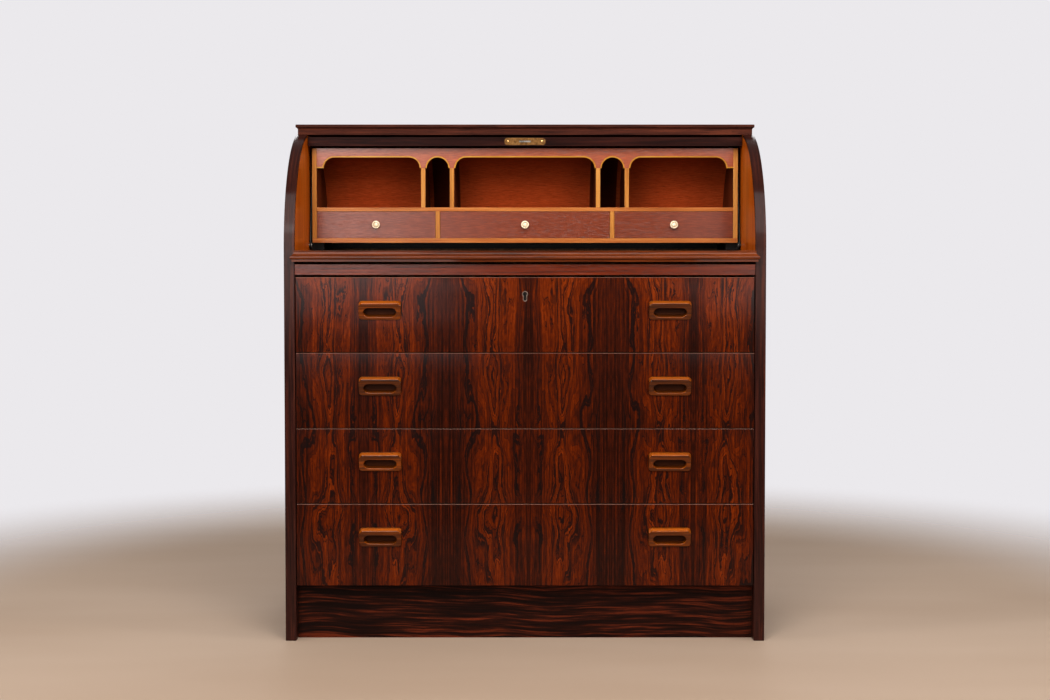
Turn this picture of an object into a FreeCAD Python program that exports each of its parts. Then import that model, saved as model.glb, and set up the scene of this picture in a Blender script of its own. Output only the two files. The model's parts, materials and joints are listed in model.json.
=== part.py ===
"""Cylinder desk: a chest of four long drawers under a sliding writing board, with a pigeonhole unit
behind a rigid quarter-round lid that turns back under the top.

Millimetres. +Z is up, the front faces -Y and the origin is on the floor, under the middle of the desk.
Depths run back from the plane of the sides' front edges, and heights run up from the floor.
The lid is drawn open, the board pushed in and every drawer shut.
"""
import FreeCAD, Part
import os
from math import asin, cos, degrees, hypot, radians, sin, sqrt, tan
from FreeCAD import Vector

# Case
case_width = 980.0  # over the outer faces of the sides
case_depth = 490.0  # from the sides' front edge to their back edge
side_thickness = 22.0
shoulder_height = 800.0  # a side's front edge stands upright to here, then bends back
crown_cut = 3.0  # the top cuts the bend off this far below its highest point
lipping_depth = 6.0  # solid strip on a side's front edge
lipping_round = 1.2
back_thickness = 6.0
back_rebate = 10.0  # how far the back panel reaches over each side
back_lift = 40.0  # bottom of the back panel above the floor
bottom_thickness = 16.0
bottom_drop = 3.0  # top of the bottom panel below the plinth's top
plinth_height = 113.0
plinth_recess = 30.0
plinth_thickness = 20.0
rail_height = 22.0
rail_depth = 60.0
rail_setback = 0.5

# Top and its moulded edge
top_thickness = 22.0
top_overhang = 2.5  # the lip beyond the sides' outer faces
top_lead = 1.0  # the moulding's lower edge ahead of the sides' bend
top_lip = 6.0
top_cove_height = 6.0
top_cove_reach = 4.5
top_cove_sag = 1.4
top_lip_round = 1.2

# Screws of the back panel
screw_rows = 6
screw_radius = 1.8
screw_head_radius = 4.0
screw_head_depth = 3.0
screw_length = 24.0
screw_slot = 0.9
screw_margin = 60.0  # from the back panel's lower and upper edges

# Writing board
board_drop = 1.5  # board's surface below the sides' shoulder
board_thickness = 20.0
board_back_gap = 34.0  # between the board and the back panel
board_clearance = 1.0  # at each end, to the side
board_runner_width = 8.0
board_runner_height = 8.0
board_runner_front = 30.0
board_groove_slack = 0.5
nose_depth = 16.0  # moulded front strip, ahead of the front plane
nose_height = 22.5
nose_lap = 8.0  # the strip's reach over each side's front edge
nose_gap = 0.5
nose_step = 1.5  # small upright step below the board's surface
nose_cove = 9.0  # height of the hollow below that step
nose_cove_sag = 2.0
nose_bead = 7.0  # height of the bead below the hollow
nose_bead_back = 1.5  # bead's corners behind its front
nose_cove_back = 7.0  # hollow's top behind the bead's front
nose_foot_back = 3.5  # strip below the bead, behind the bead's front
nose_rail_gap = 5.0

# Lid, measured from its pivot
lid_inset = 16.0  # lid's radius less than the sides' bend
lid_front_gap = 6.0  # closed lid's face behind the front plane
lid_back_gap = 10.0  # open lid to the back panel
lid_top_gap = 3.0  # below the top
lid_thickness = 14.0
lid_rail_thickness = 19.0
lid_rail_depth = 45.0  # along the curve
lid_clearance = 1.0  # at each end, to the side
lid_seat_gap = 1.3  # closed lid above the board
lid_open_angle = 83.4  # leading edge of the open lid, above the horizontal
lid_span = 92.0  # degrees of curve
lid_waste = 5.0  # degrees of rail below the board's surface, planed off flat
lid_stop_gap = 0.3
grip_width = 86.0  # finger hollows in the lid's outer face
grip_radius = 9.0
grip_bite = 6.0
grip_up = 12.0  # middle of a hollow above the closed lid's edge
batten_depth = 28.0
batten_height = 24.0

# Steel arms that carry the lid, and their pivot pins
arm_thickness = 3.0
arm_gap = 1.5  # to the side
arm_hub_radius = 10.0
arm_rim = 15.0
arm_flange = 20.0
arm_spoke_width = 18.0
arm_start = 20.0  # degrees from the lid's leading edge
arm_end = 75.0
pin_radius = 4.0
pin_running_fit = 0.05
pin_seat = 12.0  # length inside the side
pin_head_radius = 7.0
pin_head_thickness = 1.5
pin_head_gap = 0.2

# Lid lock
lock_plate_length = 88.0
lock_plate_width = 15.6
lock_plate_thickness = 2.0
lock_plate_round = 6.0
lock_case_length = 60.0
lock_case_width = 12.0
lock_case_height = 32.0
lock_screw_spread = 74.0
lock_screw_length = 16.0
lock_screw_radius = 1.5
lock_screw_head = 3.2
lock_screw_head_depth = 1.7
bolt_length = 24.6
bolt_thickness = 3.0
bolt_height = 22.0
bolt_play = 0.35
bolt_sink = 0.4  # end of the drawn bolt below the plate's face
bolt_throw = 12.0
strike_length = 60.0
strike_width = 16.0
strike_thickness = 2.0
strike_round = 4.0
strike_margin = 1.5  # slot and mortise beyond the bolt
lid_key_height = 18.0  # key's axis above the closed lid's edge
lid_escutcheon_radius = 6.0
key_radius = 2.4
key_bit = 7.0
key_bit_width = 2.0

# Pigeonhole unit
unit_clearance = 0.8  # between the unit and the heads of the lid's pins
unit_rise = 17.0  # unit's underside above the board
unit_advance = 4.5  # unit's front ahead of the lid's pivot
unit_top_gap = 5.0  # below the lid's rail
unit_back_gap = 5.0  # between the unit's bent back and the lid
unit_back_thickness = 4.0
unit_board = 10.0  # thickness of the unit's sides and bottom
unit_top_thickness = 8.0
shelf_thickness = 8.5
drawer_space = 58.0  # height between the unit's bottom and its shelf
divider_thickness = 9.5
centre_space = 307.0  # width of the middle compartment
slot_space = 52.7  # width of the narrow compartments
centre_drawer_space = 368.6
valance_thickness = 8.0
valance_height = 43.0
arch_radius = 26.0
arch_flat = 0.2  # least straight run at the top of an arch
edging = 3.0  # thin strip along the arches
nib = 12.0  # straight end of the valance beside the unit's sides
bearer_width = 28.0
bearer_setback = 40.0
bearer_back_gap = 10.5  # to the unit's bent back
bearer_gap = 2.0  # above the board

# Long drawers
drawer_count = 4
lowest_extra = 14.0  # the lowest front is this much taller than the others
drawer_gap = 1.5  # round each front
drawer_rail_gap = 4.5  # between the top drawer and the rail
drawer_plinth_gap = 1.0
front_thickness = 20.0
front_round = 0.8
box_side = 14.0
box_back = 12.0
box_bottom = 5.0
box_bottom_rise = 8.0
box_groove = 5.0  # bottom let into the sides
box_side_gap = 2.0  # to the case's sides
box_back_gap = 29.0  # to the back panel
box_lower = 12.0  # box's sides below the front's top
box_raise = 12.0  # and above its bottom
runner_height = 16.0
runner_groove = 8.0
runner_play = 0.3
runner_front = 46.0
runner_stop_gap = 1.0
runner_back_gap = 14.0  # to the back panel

# Handles let into the drawer fronts
handle_spread = 590.0  # between the middles of a drawer's handles
handle_drop = 67.0  # below the drawer's top
handle_width = 86.0
handle_height = 38.4
handle_corner = 7.0
handle_inset = 12.0  # depth let into the front
handle_lip = 15.0  # reach of the upper edge ahead of the front
handle_rim = 3.0  # reach of the lower edge
handle_bevel = 5.5
handle_facet = 4.0  # depth of the cut across each upper corner
hollow_length = 67.0
hollow_height = 20.6
hollow_drop = 5.2  # below the handle's middle
hollow_depth = 9.0  # behind the drawer's face
hollow_tilt = 20.0  # the hollow climbs inwards at this angle

# Lock of the top drawer
drawer_lock_width = 56.0
drawer_lock_height = 50.0
drawer_lock_depth = 11.0
drawer_bolt_width = 20.0
drawer_bolt_thickness = 5.0
drawer_bolt_height = 26.0
drawer_bolt_sink = 0.5
drawer_bolt_throw = 11.0
mortise_play = 1.0
keyhole_drop = 34.0  # key's axis below the drawer's top
escutcheon_radius = 6.2
escutcheon_width = 9.0
escutcheon_tail = 11.2
escutcheon_wall = 2.2
escutcheon_depth = 3.0
escutcheon_proud = 0.2
drill_pin_radius = 1.2
drill_pin_length = 7.0

# Small drawers
small_gap = 0.5
small_front = 10.0
small_side = 6.0
small_back = 6.0
small_bottom = 3.0
small_bottom_rise = 3.0
small_groove = 3.0
small_back_gap = 6.3  # to the unit's bent back, under the shelf
small_lower = 5.0
small_raise = 0.3
knob_radius = 8.7
knob_reach = 13.0
knob_neck = 3.8
knob_flare = 7.0  # from the drawer's face to the head
knob_bulge = 1.5  # roundness of the head's rim
knob_dome = 1.0
knob_foot = 4.6
knob_ring = 5.0
knob_groove = 0.6
knob_shank = 3.0
knob_shank_length = 8.0

tiny = 0.01

# Depths. The lid fills the case from the front plane to the back panel, and the sides' bend follows it
back_front = case_depth - back_thickness
board_depth = back_front - board_back_gap
box_depth = back_front - box_back_gap - front_thickness
runner_back = back_front - runner_back_gap
lid_radius = (back_front - lid_front_gap - lid_back_gap) / 2
side_radius = lid_radius + lid_inset
crown_depth = side_radius - sqrt(side_radius**2 - (side_radius - crown_cut) ** 2)
crown_angle = degrees(asin((side_radius - crown_cut) / side_radius))
front_y = (nose_depth - case_depth) / 2

# Heights, from the sides' shoulder down
side_height = shoulder_height + side_radius - crown_cut
board_top = shoulder_height - board_drop
board_bottom = board_top - board_thickness
nose_bottom = board_top - nose_height
rail_top = nose_bottom - nose_rail_gap
rail_bottom = rail_top - rail_height
drawer_top = rail_bottom - drawer_rail_gap
drawers_low = plinth_height + drawer_plinth_gap
drawers_space = drawer_top - drawers_low - (drawer_count - 1) * drawer_gap
drawer_height = (drawers_space - lowest_extra) / drawer_count

# Widths shared by many pieces
half_case = case_width / 2
half_inner = half_case - side_thickness

# The lid's pivot and inner radii
lid_inner = lid_radius - lid_thickness
lid_rail_inner = lid_radius - lid_rail_thickness
pivot_depth = lid_radius + lid_front_gap
pivot_z = side_height - lid_top_gap - lid_radius
seat_z = board_top + lid_seat_gap
lid_closed_angle = degrees(asin((seat_z - pivot_z) / lid_radius))
lid_travel = lid_open_angle - lid_closed_angle
half_lid = half_inner - lid_clearance
lock_depth = pivot_depth - (lid_radius + lid_rail_inner) / 2

# The unit's outside. Its sides stand clear of the lid's arms and pins
unit_gap = arm_gap + arm_thickness + pin_head_gap + pin_head_thickness + unit_clearance
unit_front = pivot_depth - unit_advance
unit_base = board_top + unit_rise
unit_top = pivot_z + lid_rail_inner - unit_top_gap
unit_back_outer = lid_inner - unit_back_gap
unit_back_inner = unit_back_outer - unit_back_thickness
half_unit = half_inner - unit_gap
half_unit_inner = half_unit - unit_board
drawer_floor = unit_base + unit_board
shelf_low = drawer_floor + drawer_space
shelf_high = shelf_low + shelf_thickness
valance_low = unit_top - valance_height
valance_back = unit_front + valance_thickness


def at(x, depth, z):
    """A point from its place across, its depth behind the front plane and its height."""
    return Vector(x, front_y + depth, z)


def spread(half):
    """Limits the same distance either side of the middle."""
    return -half, half


def around(middle, size):
    """Limits of a given size about a middle."""
    return middle - size / 2, middle + size / 2


def block(x, depth, z):
    """A box between limits across, in depth and in height."""
    sizes = [high - low for low, high in (x, depth, z)]
    return Part.makeBox(*sizes, at(x[0], depth[0], z[0]))


def rod_across(radius, x, depth, z):
    """A cylinder from side to side."""
    return Part.makeCylinder(radius, x[1] - x[0], at(x[0], depth, z), Vector(1, 0, 0))


def rod_back(radius, x, depth, z):
    """A cylinder from front to back."""
    return Part.makeCylinder(radius, depth[1] - depth[0], at(x, depth[0], z), Vector(0, 1, 0))


def drawn(segments, place):
    """Edges of an outline: two points make a line and three an arc."""
    edges = []
    for segment in segments:
        points = [place(*point) for point in segment]
        if len(points) == 2:
            edges.append(Part.makeLine(*points))
        else:
            edges.append(Part.Arc(*points).toShape())
    return edges


def closed(points):
    """Straight segments that join a ring of points."""
    return list(zip(points, points[1:] + points[:1]))


def filled(edges):
    """The flat face inside a ring of edges."""
    return Part.Face(Part.Wire(Part.__sortEdges__(edges)))


def across(edges, x):
    """A solid with this outline in depth and height, between two places across."""
    face = filled(edges)
    face.translate(Vector(x[0], 0, 0))
    return face.extrude(Vector(x[1] - x[0], 0, 0))


def section(depth, z):
    """A point of an outline in depth and height."""
    return at(0, depth, z)


def pair(shape):
    """The shape and its mirror image on the other side of the desk."""
    return [shape, shape.mirror(Vector(0, 0, 0), Vector(1, 0, 0))]


def without(shape, *tools):
    """The shape with every tool cut away."""
    return shape.cut(list(tools))


def rounded(shape, radius, wanted):
    """The shape with a round on each edge whose bounding box is wanted."""
    return shape.makeFillet(radius, [edge for edge in shape.Edges if wanted(edge.BoundBox)])


def upright_edge(box):
    """True for an edge that runs straight up."""
    return box.XLength < tiny and box.YLength < tiny


def depth_edge(box):
    """True for an edge that runs straight back."""
    return box.XLength < tiny and box.ZLength < tiny


def save(node, *shapes):
    """Write a node: one solid, or a group of separate ones."""
    solids = [solid for shape in shapes for solid in shape.Solids]
    group = solids[0] if len(solids) == 1 else Part.makeCompound(solids)
    group.exportStep(f"parts/{node}.step")


def hollowed(start, end, sag):
    """The three points of a hollow in a moulding, sag deep at its middle."""
    run = end[0] - start[0]
    rise = end[1] - start[1]
    lean = sag / hypot(run, rise)
    middle = ((start[0] + end[0]) / 2 + lean * rise, (start[1] + end[1]) / 2 - lean * run)
    return start, middle, end


def moulded_slab(moulding, width, depth, z):
    """A slab with the same moulding along its front and both ends.

    The moulding runs from the lower edge to the upper edge, as insets from the outermost face and
    heights. Two solids, one shaped along the front and one along the ends, meet in mitres.
    """
    front, back = depth
    foot = moulding[0][0]
    head = moulding[-1][-1]
    run_back = [(head, (back - front, z[1])), ((back - front, z[1]), (back - front, z[0])),
                ((back - front, z[0]), foot)]
    front_edges = drawn(moulding + run_back, lambda inset, height: at(0, front + inset, height))
    along_front = across(front_edges, spread(width / 2))

    left = drawn(moulding, lambda inset, height: at(inset - width / 2, front, height))
    right = drawn(moulding, lambda inset, height: at(width / 2 - inset, front, height))
    joins = closed([(head[0] - width / 2, head[1]), (width / 2 - head[0], head[1])])[:1]
    joins += closed([(foot[0] - width / 2, foot[1]), (width / 2 - foot[0], foot[1])])[:1]
    ends = filled(left + right + drawn(joins, lambda x, height: at(x, front, height)))
    along_ends = ends.extrude(Vector(0, back - front, 0))
    return along_front.common(along_ends)


# Sides: a panel with a solid lipping along its upright and bent front edge


def bend_point(radius, angle):
    """A point round the centre of the sides' bend, at an angle up from the front."""
    turn = radians(angle)
    return at(0, side_radius - radius * cos(turn), shoulder_height + radius * sin(turn))


def bend(radius):
    """The arc of the sides' bend at a radius, from the shoulder up to the top."""
    return Part.Arc(*[bend_point(radius, share * crown_angle) for share in (0, 0.5, 1)]).toShape()


def side_blank():
    """One whole side, with its lipping."""
    shoulder = section(0, shoulder_height)
    corners = [bend_point(side_radius, crown_angle), section(case_depth, side_height),
               section(case_depth, 0), section(0, 0), shoulder]
    edges = [Part.makeLine(start, end) for start, end in zip(corners, corners[1:])]
    return across(edges + [bend(side_radius)], (half_inner, half_case))


def side_lipping():
    """The strip along the front edge, before its corners are softened."""
    inner = side_radius - lipping_depth
    corners = [bend_point(inner, 0), section(lipping_depth, 0), section(0, 0), bend_point(side_radius, 0)]
    edges = [Part.makeLine(start, end) for start, end in zip(corners, corners[1:])]
    edges.append(Part.makeLine(bend_point(side_radius, crown_angle), bend_point(inner, crown_angle)))
    return across(edges + [bend(side_radius), bend(inner)], (half_inner, half_case))


def softened_lipping():
    """The strip with its two long front corners rounded."""
    strip = side_lipping()
    corners = []
    for edge in strip.Edges:
        on_front = edge.BoundBox.YMax < front_y + tiny
        on_bend = isinstance(edge.Curve, Part.Circle) and edge.Curve.Radius > side_radius - tiny
        if edge.BoundBox.XLength < tiny and (on_front or on_bend):
            corners.append(edge)
    return strip.makeFillet(lipping_round, corners)


def countersunk_screw(x, z):
    """A screw of the back panel, with its head flush with the panel."""
    head = Part.makeCone(screw_radius, screw_head_radius, screw_head_depth,
                         at(x, case_depth - screw_head_depth, z), Vector(0, 1, 0))
    shank = rod_back(screw_radius, x, (case_depth - screw_length, case_depth - screw_head_depth), z)
    return head.fuse(shank).removeSplitter()


def back_screw_places():
    """Where the back panel is screwed to the right side."""
    low = back_lift + screw_margin
    step = (side_height - screw_margin - low) / (screw_rows - 1)
    return [(half_inner + back_rebate / 2, low + row * step) for row in range(screw_rows)]


def make_sides():
    rebate = block((half_inner, half_inner + back_rebate), (back_front, case_depth), (0, side_height))
    bore = rod_across(pin_radius, (half_inner, half_inner + pin_seat), pivot_depth, pivot_z)
    screws = [countersunk_screw(x, z) for x, z in back_screw_places()]
    panel = without(side_blank(), side_lipping(), rebate, bore, *screws)
    for name, shape in zip(("right", "left"), pair(panel)):
        save(f"side_panel_{name}", shape)
    for name, shape in zip(("right", "left"), pair(softened_lipping())):
        save(f"side_lipping_{name}", shape)


# Top, back, bottom, plinth and front rail


def make_top():
    low = side_height
    high = low + top_thickness
    cove_low = high - top_lip - top_cove_height
    cove_high = high - top_lip
    round_middle = top_lip_round * (1 - sqrt(0.5))
    moulding = [
        ((top_cove_reach, low), (top_cove_reach, cove_low)),
        hollowed((top_cove_reach, cove_low), (0, cove_high), top_cove_sag),
        ((0, cove_high), (0, high - top_lip_round)),
        ((0, high - top_lip_round), (round_middle, high - round_middle), (top_lip_round, high)),
    ]
    front = crown_depth - top_lead - top_cove_reach
    save("top_panel", moulded_slab(moulding, case_width + 2 * top_overhang, (front, case_depth), (low, high)))


def make_back():
    panel = block(spread(half_inner + back_rebate), (back_front, case_depth), (back_lift, side_height))
    screws = [screw for x, z in back_screw_places() for screw in pair(countersunk_screw(x, z))]
    save("back_panel", without(panel, *screws))
    slots = []
    for x, z in back_screw_places():
        slot_depth = (case_depth - screw_slot, case_depth)
        slots += pair(block(around(x, 2 * screw_head_radius), slot_depth, around(z, screw_slot)))
    save("back_screws", *[without(screw, *slots) for screw in screws])


def make_base():
    plinth_back = plinth_recess + plinth_thickness
    save("plinth", block(spread(half_inner), (plinth_recess, plinth_back), (0, plinth_height)))
    panel_top = plinth_height - bottom_drop
    panel_z = (panel_top - bottom_thickness, panel_top)
    save("bottom_panel", block(spread(half_inner), (plinth_back, back_front), panel_z))


def drawer_bolt_depth():
    """Limits in depth of the drawer lock's bolt, in the middle of the lock."""
    return around(front_thickness - drawer_lock_depth / 2, drawer_bolt_thickness)


def make_front_rail():
    rail = block(spread(half_inner), (rail_setback, rail_depth), (rail_bottom, rail_top))
    near, far = drawer_bolt_depth()
    reach = drawer_top - drawer_bolt_sink + drawer_bolt_throw + mortise_play
    mortise = block(spread(drawer_bolt_width / 2 + mortise_play), (near - mortise_play, far + mortise_play),
                    (rail_bottom, reach))
    save("front_rail", without(rail, mortise))


# Writing board with its moulded nose, its runners and the strike for the lid's bolt


def board_runner_z():
    """Limits in height of the board's runners, half way up the board."""
    return around((board_top + board_bottom) / 2, board_runner_height)


def plate(x, depth, z, corner):
    """A thin metal plate with rounded corners."""
    return rounded(block(x, depth, z), corner, upright_edge)


def make_board():
    half = half_inner - board_clearance
    low, high = board_runner_z()
    groove_x = (half_inner - board_runner_width - board_groove_slack, half)
    groove_depth = (board_runner_front - runner_stop_gap, board_depth)
    groove = block(groove_x, groove_depth, (low - runner_play, high + runner_play))
    bolt_hole_x = spread(bolt_length / 2 + strike_margin)
    bolt_hole_depth = around(lock_depth, bolt_thickness + 2 * strike_margin)
    mortise_bottom = seat_z + bolt_sink - bolt_throw - strike_margin
    mortise = block(bolt_hole_x, bolt_hole_depth, (mortise_bottom, board_top))
    strike_plate = plate(spread(strike_length / 2), around(lock_depth, strike_width),
                         (board_top - strike_thickness, board_top), strike_round)
    panel = block(spread(half), (-nose_gap, board_depth), (board_bottom, board_top))
    save("board_panel", without(panel, *pair(groove), mortise, strike_plate))
    save("board_strike", without(strike_plate, mortise))
    runner_x = (half_inner - board_runner_width, half_inner)
    runner = block(runner_x, (board_runner_front, board_depth), (low, high))
    save("board_runners", *pair(runner))


def make_board_nose():
    step_low = board_top - nose_step
    cove_low = step_low - nose_cove
    bead_low = cove_low - nose_bead
    moulding = [
        ((nose_foot_back, nose_bottom), (nose_foot_back, bead_low)),
        ((nose_foot_back, bead_low), (nose_bead_back, bead_low)),
        ((nose_bead_back, bead_low), (0, (bead_low + cove_low) / 2), (nose_bead_back, cove_low)),
        hollowed((nose_bead_back, cove_low), (nose_cove_back, step_low), nose_cove_sag),
        ((nose_cove_back, step_low), (nose_cove_back, board_top)),
    ]
    width = 2 * (half_inner + nose_lap)
    save("board_moulding", moulded_slab(moulding, width, (-nose_depth, -nose_gap), (nose_bottom, board_top)))


# Lid: drawn closed, then turned back to its open place


def opened(shape):
    """The shape turned from the closed lid's place to the open lid's."""
    turned = shape.copy()
    turned.rotate(at(0, pivot_depth, pivot_z), Vector(1, 0, 0), -lid_travel)
    return turned


def lid_point(radius, angle):
    """A point round the lid's pivot, at an angle up from the front."""
    turn = radians(angle)
    return at(0, pivot_depth - radius * cos(turn), pivot_z + radius * sin(turn))


def lid_sector(inner, outer, start, end, x):
    """A piece of a ring round the lid's pivot."""
    middle = (start + end) / 2
    arcs = [Part.Arc(*[lid_point(radius, angle) for angle in (start, middle, end)]).toShape()
            for radius in (inner, outer)]
    ends = [Part.makeLine(lid_point(inner, angle), lid_point(outer, angle)) for angle in (start, end)]
    return across(arcs + ends, x)


def lid_rail_end():
    """Angle where the closed lid's leading rail meets its panel."""
    return lid_closed_angle + degrees(lid_rail_depth / lid_radius)


def lock_plate_blank():
    return plate(spread(lock_plate_length / 2), around(lock_depth, lock_plate_width),
                 (seat_z, seat_z + lock_plate_thickness), lock_plate_round)


def lock_case_blank():
    low = seat_z + lock_plate_thickness
    case_z = (low, low + lock_case_height)
    return block(spread(lock_case_length / 2), around(lock_depth, lock_case_width), case_z)


def lock_screw(x):
    """A screw of the lock plate, with its head flush with the plate."""
    tip_length = lock_screw_length - lock_screw_head_depth
    neck_z = seat_z + lock_screw_head_depth
    head = Part.makeCone(lock_screw_head, lock_screw_radius, lock_screw_head_depth, at(x, lock_depth, seat_z))
    shank = Part.makeCylinder(lock_screw_radius, tip_length, at(x, lock_depth, neck_z))
    return head.fuse(shank).removeSplitter()


def key_passage(x, depth, z):
    """A keyhole from front to back: a round hole with a slot below it."""
    bit = block(around(x, key_bit_width), depth, (z - key_bit, z))
    return rod_back(key_radius, x, depth, z).fuse(bit)


def make_lid():
    end = lid_closed_angle + lid_span
    panel = lid_sector(lid_inner, lid_radius, lid_rail_end(), end, spread(half_lid))
    save("lid_panel", opened(panel))

    below_seat = block(spread(half_case), (-case_depth, case_depth), (0, seat_z))
    rail_start = lid_closed_angle - lid_waste
    rail = lid_sector(lid_rail_inner, lid_radius, rail_start, lid_rail_end(), spread(half_lid))
    grip_angle = lid_closed_angle + degrees(grip_up / lid_radius)
    grip_middle = lid_point(lid_radius + grip_radius - grip_bite, grip_angle)
    grip = Part.makeCylinder(grip_radius, grip_width, grip_middle, Vector(1, 0, 0))
    grip.translate(Vector((handle_spread - grip_width) / 2, 0, 0))
    screws = pair(lock_screw(lock_screw_spread / 2))
    key_z = seat_z + lid_key_height
    passage = key_passage(0, (0, lock_depth), key_z)
    escutcheon = rod_back(lid_escutcheon_radius, 0, (0, lock_depth - lock_case_width / 2), key_z)
    rail = without(rail, below_seat, *pair(grip), lock_plate_blank(), lock_case_blank(), *screws,
                   passage, escutcheon)
    save("lid_rail", opened(rail))

    lid_core = rod_across(lid_radius, spread(half_lid), pivot_depth, pivot_z)
    save("lid_escutcheon", opened(without(escutcheon.common(lid_core), passage)))

    bolt_z = (seat_z + bolt_sink, seat_z + bolt_sink + bolt_height)
    bolt = block(spread(bolt_length / 2), around(lock_depth, bolt_thickness), bolt_z)
    channel = block(spread(bolt_length / 2 + bolt_play), around(lock_depth, bolt_thickness + 2 * bolt_play),
                    (seat_z, bolt_z[1] + bolt_play))
    save("lid_lock_bolt", opened(bolt))
    save("lid_lock_plate", opened(without(lock_plate_blank(), channel, *screws)))
    save("lid_lock_case", opened(without(lock_case_blank(), channel)))
    slots = pair(block(around(lock_screw_spread / 2, 2 * lock_screw_head), around(lock_depth, screw_slot),
                       (seat_z, seat_z + screw_slot)))
    save("lid_lock_screws", *[opened(without(screw, *slots)) for screw in screws])


def make_lid_arms():
    outer = half_inner - arm_gap
    inner = outer - arm_thickness
    start = lid_closed_angle + arm_start
    end = lid_closed_angle + arm_end
    hub = rod_across(arm_hub_radius, (inner, outer), pivot_depth, pivot_z)
    rim = lid_sector(lid_inner - arm_rim, lid_inner, start, end, (inner, outer))
    flange = lid_sector(lid_inner - arm_thickness, lid_inner, start, end, (outer - arm_flange, outer))
    spoke_z = (pivot_z, pivot_z + lid_inner - arm_rim / 2)
    half_spoke_angle = degrees(asin(arm_spoke_width / 2 / lid_inner))
    spokes = []
    for angle in (start + half_spoke_angle, end - half_spoke_angle):
        spoke = block((inner, outer), around(pivot_depth, arm_spoke_width), spoke_z)
        spoke.rotate(at(0, pivot_depth, pivot_z), Vector(1, 0, 0), 90 - angle)
        spokes.append(spoke)
    arm = hub.multiFuse([rim, flange, *spokes]).removeSplitter()
    bore = rod_across(pin_radius + pin_running_fit, (inner, outer), pivot_depth, pivot_z)
    save("lid_arms", *pair(opened(without(arm, bore))))

    head_x = (inner - pin_head_gap - pin_head_thickness, inner - pin_head_gap)
    head = rod_across(pin_head_radius, head_x, pivot_depth, pivot_z)
    shank = rod_across(pin_radius, (head_x[1], half_inner + pin_seat), pivot_depth, pivot_z)
    save("lid_pivot_pins", *pair(head.fuse(shank).removeSplitter()))


def make_lid_stop():
    trailing = radians(lid_open_angle + lid_span)
    rest_z = pivot_z + lid_inner * sin(trailing) - lid_stop_gap
    batten_z = (rest_z - batten_height, rest_z)
    save("lid_stop_batten", block(spread(half_inner), (back_front - batten_depth, back_front), batten_z))


# Pigeonhole unit


def trimmed(shape):
    """The shape kept inside the unit's bent back."""
    return shape.common(rod_across(unit_back_inner, spread(half_inner), pivot_depth, pivot_z))


def unit_piece(x, z, front=unit_front):
    """A board of the unit that reaches back to the bent back."""
    return trimmed(block(x, (front, case_depth), z))


def compartments():
    """Limits across of the openings above the shelf, from the middle to the right."""
    slot_left = centre_space / 2 + divider_thickness
    outer_left = slot_left + slot_space + divider_thickness
    return [spread(centre_space / 2), (slot_left, slot_left + slot_space), (outer_left, half_unit_inner)]


def make_unit_boards():
    save("unit_bottom", unit_piece(spread(half_unit), (unit_base, drawer_floor)))
    save("unit_sides", *pair(unit_piece((half_unit_inner, half_unit), (drawer_floor, unit_top))))
    top_z = (unit_top - unit_top_thickness, unit_top)
    save("unit_top", unit_piece(spread(half_unit_inner), top_z, valance_back))
    save("unit_shelf", unit_piece(spread(half_unit_inner), (shelf_low, shelf_high)))
    ring = [rod_across(radius, spread(half_unit), pivot_depth, pivot_z)
            for radius in (unit_back_outer, unit_back_inner)]
    behind = block(spread(half_unit), (pivot_depth, case_depth), (unit_base, unit_top))
    save("unit_back", without(ring[0], ring[1]).common(behind))

    centre, slot, outer = compartments()
    uprights = []
    for x in ((centre[1], slot[0]), (slot[1], outer[0])):
        upright = unit_piece(x, (shelf_high, unit_top - unit_top_thickness))
        notch = block(x, (unit_front, valance_back), (valance_low, unit_top))
        uprights += pair(without(upright, notch))
    save("unit_dividers", *uprights)
    divider_x = (centre_drawer_space / 2, centre_drawer_space / 2 + divider_thickness)
    save("unit_drawer_dividers", *pair(unit_piece(divider_x, (drawer_floor, shelf_low))))

    bearer_depths = (unit_front + bearer_setback, pivot_depth + unit_back_inner - bearer_back_gap)
    bearer_z = (board_top + bearer_gap, unit_base)
    save("unit_bearers", *pair(block((half_inner - bearer_width, half_inner), bearer_depths, bearer_z)))


def arch(x, radius, depth):
    """What an arched opening cuts from the valance: an upright hole with rounded upper corners."""
    left, right = x
    crown = valance_low + radius
    lower = block(x, depth, (shelf_high, valance_low))
    middle = block((left + radius, right - radius), depth, (valance_low, crown))
    corners = [rod_back(radius, corner, depth, valance_low) for corner in (left + radius, right - radius)]
    return lower.multiFuse([middle, *corners])


def make_valance():
    depth = (unit_front, valance_back)
    centre, slot, outer = compartments()
    inside_nib = (outer[0], outer[1] - nib)
    slot_radius = slot_space / 2 - arch_flat
    nib_sole = block((inside_nib[1] - arch_radius, outer[1]), depth, (valance_low, valance_low + edging))
    openings = [(centre, arch_radius), (slot, slot_radius), (inside_nib, arch_radius)]
    cuts = []
    strips = []
    for x, radius in openings:
        outline = arch(x, radius, depth)
        clear = arch((x[0] + edging, x[1] - edging), radius - edging, depth)
        if x == inside_nib:
            outline = outline.fuse(nib_sole)
        strip = without(outline, clear, block(spread(half_unit), depth, (0, valance_low))).removeSplitter()
        cuts += [outline] if x == centre else pair(outline)
        strips += [strip] if x == centre else pair(strip)
    board = block(spread(half_unit_inner), depth, (valance_low, unit_top))
    save("unit_valance", without(board, *cuts))
    save("unit_valance_edging", *strips)


# Drawer boxes, shared by the long and the small drawers


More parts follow.
